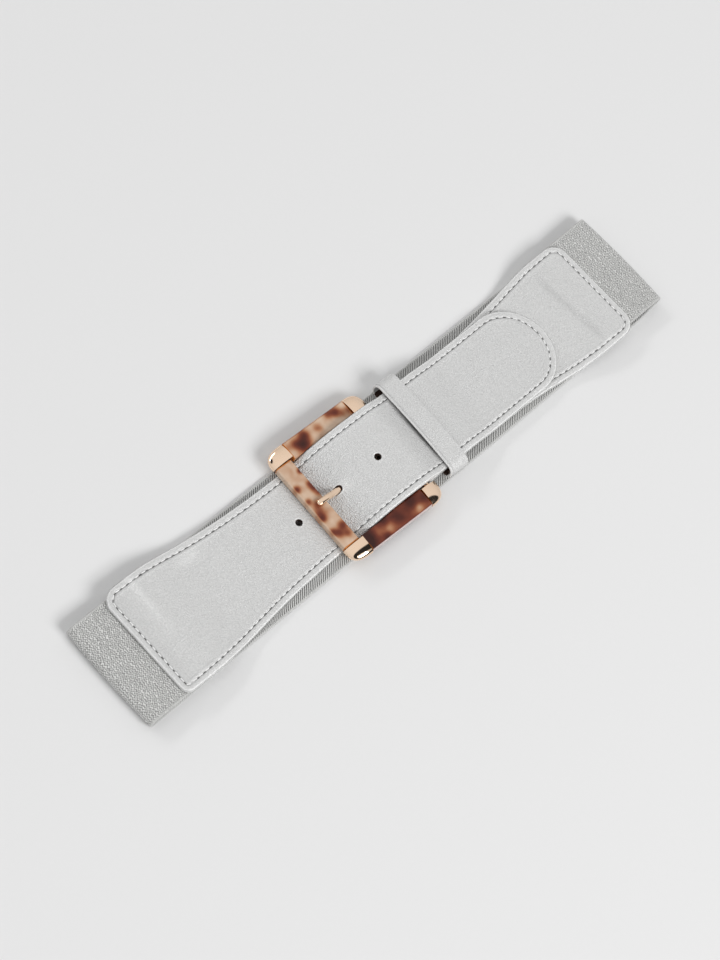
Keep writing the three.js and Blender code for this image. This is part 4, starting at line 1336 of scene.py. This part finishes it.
def at_pitch(path, pitch, closed):
    """Evenly spaced points on a path and the direction at each."""
    if closed:
        path = np.concatenate([path, path[:1]])
    steps = np.hypot(*np.diff(path, axis=0).T)
    reach = np.concatenate([[0], np.cumsum(steps)])
    count = int(round(reach[-1] / pitch))
    at = (np.arange(count) + 0.5) * reach[-1] / count
    points = np.stack([np.interp(at, reach, path[:, k]) for k in (0, 1)], 1)
    ahead = np.stack([np.interp(at + 0.4, reach, path[:, k]) for k in (0, 1)], 1)
    behind = np.stack([np.interp(at - 0.4, reach, path[:, k]) for k in (0, 1)], 1)
    return points, (ahead - behind) / np.linalg.norm(ahead - behind, axis=1)[:, None]


def even_outline(outline, spacing=0.4):
    closed = np.concatenate([outline, outline[:1]])
    steps = np.hypot(*np.diff(closed, axis=0).T)
    closed = closed[np.concatenate([[True], steps > 1e-6])]
    reach = np.concatenate([[0], np.cumsum(np.hypot(*np.diff(closed, axis=0).T))])
    at = np.arange(0, reach[-1], spacing)
    return np.stack([np.interp(at, reach, closed[:, k]) for k in (0, 1)], 1)


strap_edge, tab_edge = even_outline(strap_outline), even_outline(tab_outline)
strap_seam = seam_path(strap_edge, seam_in(strap_edge[:, 0] - STRAP_START), lambda p: p[:, 0] > -1e9)
tab_seam = seam_path(tab_edge, seam_in(TAB_END - tab_edge[:, 0]), lambda p: p[:, 0] > HINGE_X + 1)
print("seam points:", len(strap_seam), len(tab_seam))

# %% Threads, and dark rods that paint the shade of needle holes
PITCH, THREAD_LONG, THREAD_R, THREAD_ASIDE = 4.0, 2.9, 0.28, 0.30


def surface_frame(x, y, height, wall, sway, lift):
    """The point and axes (along, across, up) on a strip's face at a flat place."""
    slope = float(slope_of(height, x))
    length = math.hypot(1, slope)
    up = np.array([-slope / length, 0, 1 / length])
    point = np.array([x, y, float(height(x))]) + up * (wall / 2 + lift)
    turn = float(slope_of(sway, point[0]))
    point[0], point[1] = point[0] - point[1] * turn, point[1] + float(sway(point[0]))
    return point, np.array([1 / length, turn, slope / length]), np.array([-turn, 1, 0]), up


def rod(centre, forward, up, length, radius, lift_in, sides=8, rings=9):
    """A short thread whose two ends sink by lift_in."""
    side = np.cross(up, forward)
    side /= np.linalg.norm(side)
    out = []
    for k in range(rings):
        t = -1 + 2 * k / (rings - 1)
        slim = math.sqrt(max(1 - abs(t) ** 5, 0.02))
        middle = centre + forward * (t * length / 2) - up * lift_in * t ** 4
        turn = np.linspace(0, 2 * math.pi, sides, endpoint=False)
        out.append(middle + radius * slim * (np.outer(np.cos(turn), side) * 1.1 + np.outer(np.sin(turn), up)))
    return np.array(out)


def thread_row(name, seam, closed, height, wall, sway):
    rods, holes = [], []
    points, ways = at_pitch(seam, PITCH, closed)
    step = np.linalg.norm(points[1] - points[0])
    for (x, y), (wx, wy) in zip(points, ways):
        lean = random.uniform(-0.05, 0.05)
        centre, along, across, up = surface_frame(x, y + THREAD_ASIDE, height, wall, sway, -0.05)
        forward = along * (wx - lean * wy) + across * (wy + lean * wx)
        forward /= np.linalg.norm(forward)
        rods.append((rod(centre, forward, up, THREAD_LONG + random.uniform(-0.3, 0.2), THREAD_R, 0.42), False))
        # A dark rod between two threads paints the needle hole's shade.
        centre, along, across, up = surface_frame(x + wx * step / 2, y + wy * step / 2, height, wall, sway, -0.36)
        forward = along * wx + across * wy
        forward /= np.linalg.norm(forward)
        centre = centre - across * random.uniform(0.0, 0.14)
        holes.append((rod(centre, forward, up, random.uniform(1.5, 2.6), random.uniform(0.22, 0.31), 0.0), False))
    return joined_piece(name, *rods), joined_piece(name + "_holes", *holes)


strap_rows = thread_row("strap_thread", strap_seam, True, strap_height, STRAP_WALL, strap_sway)
tab_rows = thread_row("tab_thread", tab_seam, False, tab_height, TAB_WALL, tab_sway)
print("thread points:", len(strap_rows[0].data.vertices), len(tab_rows[0].data.vertices))

# %% Thread materials
def make_thread():
    material, tree, shader = new_material("grey_thread")
    place = node(tree, "ShaderNodeTexCoord").outputs["Object"]
    twist = node(tree, "ShaderNodeTexNoise", {"Vector": place}, Scale=3000.0, Detail=2.0)
    tone = ramp(tree, twist.outputs["Fac"], [(0.3, (0.84, 0.84, 0.835)), (0.7, (0.93, 0.93, 0.925))])
    tree.links.new(tone.outputs["Color"], shader.inputs["Base Color"])
    tree.links.new(bump(tree, twist.outputs["Fac"], 0.05), shader.inputs["Normal"])
    shader.inputs["Roughness"].default_value = 0.6
    return material


# A dark matte finish that paints the shade in the needle holes.
def make_needle_hole_shade():
    material, tree, shader = new_material("needle_hole_shade")
    place = node(tree, "ShaderNodeTexCoord").outputs["Object"]
    fibre = node(tree, "ShaderNodeTexNoise", {"Vector": place}, Scale=2500.0)
    tone = ramp(tree, fibre.outputs["Fac"], [(0.3, 0.09), (0.7, (0.17, 0.168, 0.165))])
    tree.links.new(tone.outputs["Color"], shader.inputs["Base Color"])
    shader.inputs["Roughness"].default_value = 0.9
    return material


thread, needle_hole_shade = make_thread(), make_needle_hole_shade()
for row in (strap_rows, tab_rows):
    for piece, material in zip(row, (thread, needle_hole_shade)):
        face_outwards(piece)
        finish_piece(piece, material, "leather")

# %% [markdown]
# ## Floor, light and camera
# The belt lies on a pale surface under a large soft lamp low at one side and a bright room. Dark
# cards out of view give the polished metal something to reflect besides white.

# %% Floor
floor_mesh = bpy.data.meshes.new("floor")
FLOOR = 6.0
floor_mesh.from_pydata([(-FLOOR, -FLOOR, 0), (FLOOR, -FLOOR, 0), (FLOOR, FLOOR, 0), (-FLOOR, FLOOR, 0)],
                       [], [(0, 1, 2, 3)])
floor = bpy.data.objects.new("floor", floor_mesh)
bpy.context.scene.collection.objects.link(floor)
paper, paper_tree, paper_shader = new_material("pale_surface")
paper_noise = node(paper_tree, "ShaderNodeTexNoise", {"Vector": node(paper_tree, "ShaderNodeTexCoord").outputs["Object"]},
                   Scale=400.0, Detail=3.0)
paper_tone = ramp(paper_tree, paper_noise.outputs["Fac"], [(0.3, 0.742), (0.7, 0.746)])
paper_tree.links.new(paper_tone.outputs["Color"], paper_shader.inputs["Base Color"])
paper_shader.inputs["Roughness"].default_value = 0.9
paper_shader.inputs["Specular IOR Level"].default_value = 0.1
floor_mesh.materials.append(paper)

# %% Lights
def area_light(name, place, aim, size, power):
    light = bpy.data.lights.new(name, "AREA")
    light.shape, light.size, light.size_y, light.energy = "RECTANGLE", size[0], size[1], power
    made = bpy.data.objects.new(name, light)
    made.location = place
    made.rotation_euler = (Vector(aim) - Vector(place)).to_track_quat("-Z", "Y").to_euler()
    bpy.context.scene.collection.objects.link(made)


KEY_PLACE = (0.15, -2.8, 2.25)
area_light("key_window", KEY_PLACE, (0, 0, 0), (2.0, 1.3), 87.5)
area_light("rim_strip", (-0.4, 2.9, 1.7), (0, 0, 0), (2.4, 0.4), 20.0)
world = bpy.data.worlds.new("studio")
bpy.context.scene.world = world
world.use_nodes = True
room = world.node_tree
direction = node(room, "ShaderNodeTexCoord").outputs["Generated"]


def towards(place):
    """How nearly a direction of the room points at a place: 1 straight at it."""
    aim = Vector(place).normalized()
    made = node(room, "ShaderNodeVectorMath", {0: direction}, operation="DOT_PRODUCT")
    made.inputs[1].default_value = aim
    return made.outputs["Value"]


def cosine(degrees):
    return math.cos(math.radians(degrees))


height = node(room, "ShaderNodeSeparateXYZ", {"Vector": direction}).outputs["Z"]
sky = ramp(room, height, [(0.0, 0.60), (0.5, 0.70), (1.0, 0.84)])
dark_frame = ramp(room, towards(KEY_PLACE), [
    (cosine(43), 1), (cosine(40), 0.03), (cosine(22), 0.03), (cosine(19), 1),
])
dark_card = ramp(room, towards((-0.5, 0.9, 1.0)), [(cosine(14), 1), (cosine(11), 0.03)])
walls = sky.outputs["Color"]
for card in (dark_frame, dark_card):
    walls = shaded(room, walls, card.outputs["Color"])
room.links.new(walls, room.nodes["Background"].inputs["Color"])
bpy.context.scene.view_settings.view_transform = "Standard"

# %% Camera
lens = bpy.data.cameras.new("camera")
lens.lens, lens.sensor_width, lens.sensor_fit = 82.5, 36.0, "AUTO"
lens.clip_start, lens.clip_end = 0.01, 20.0
camera = bpy.data.objects.new("camera", lens)
camera.location = (Vector((-464.289905, -169.740739, 986.298724)) + Vector(SHIFT)) * MM
camera.rotation_euler = (0.404600443, -0.206414682, -0.765994502)
bpy.context.scene.collection.objects.link(camera)
bpy.context.scene.camera = camera
print("camera at", [round(v, 4) for v in camera.location])
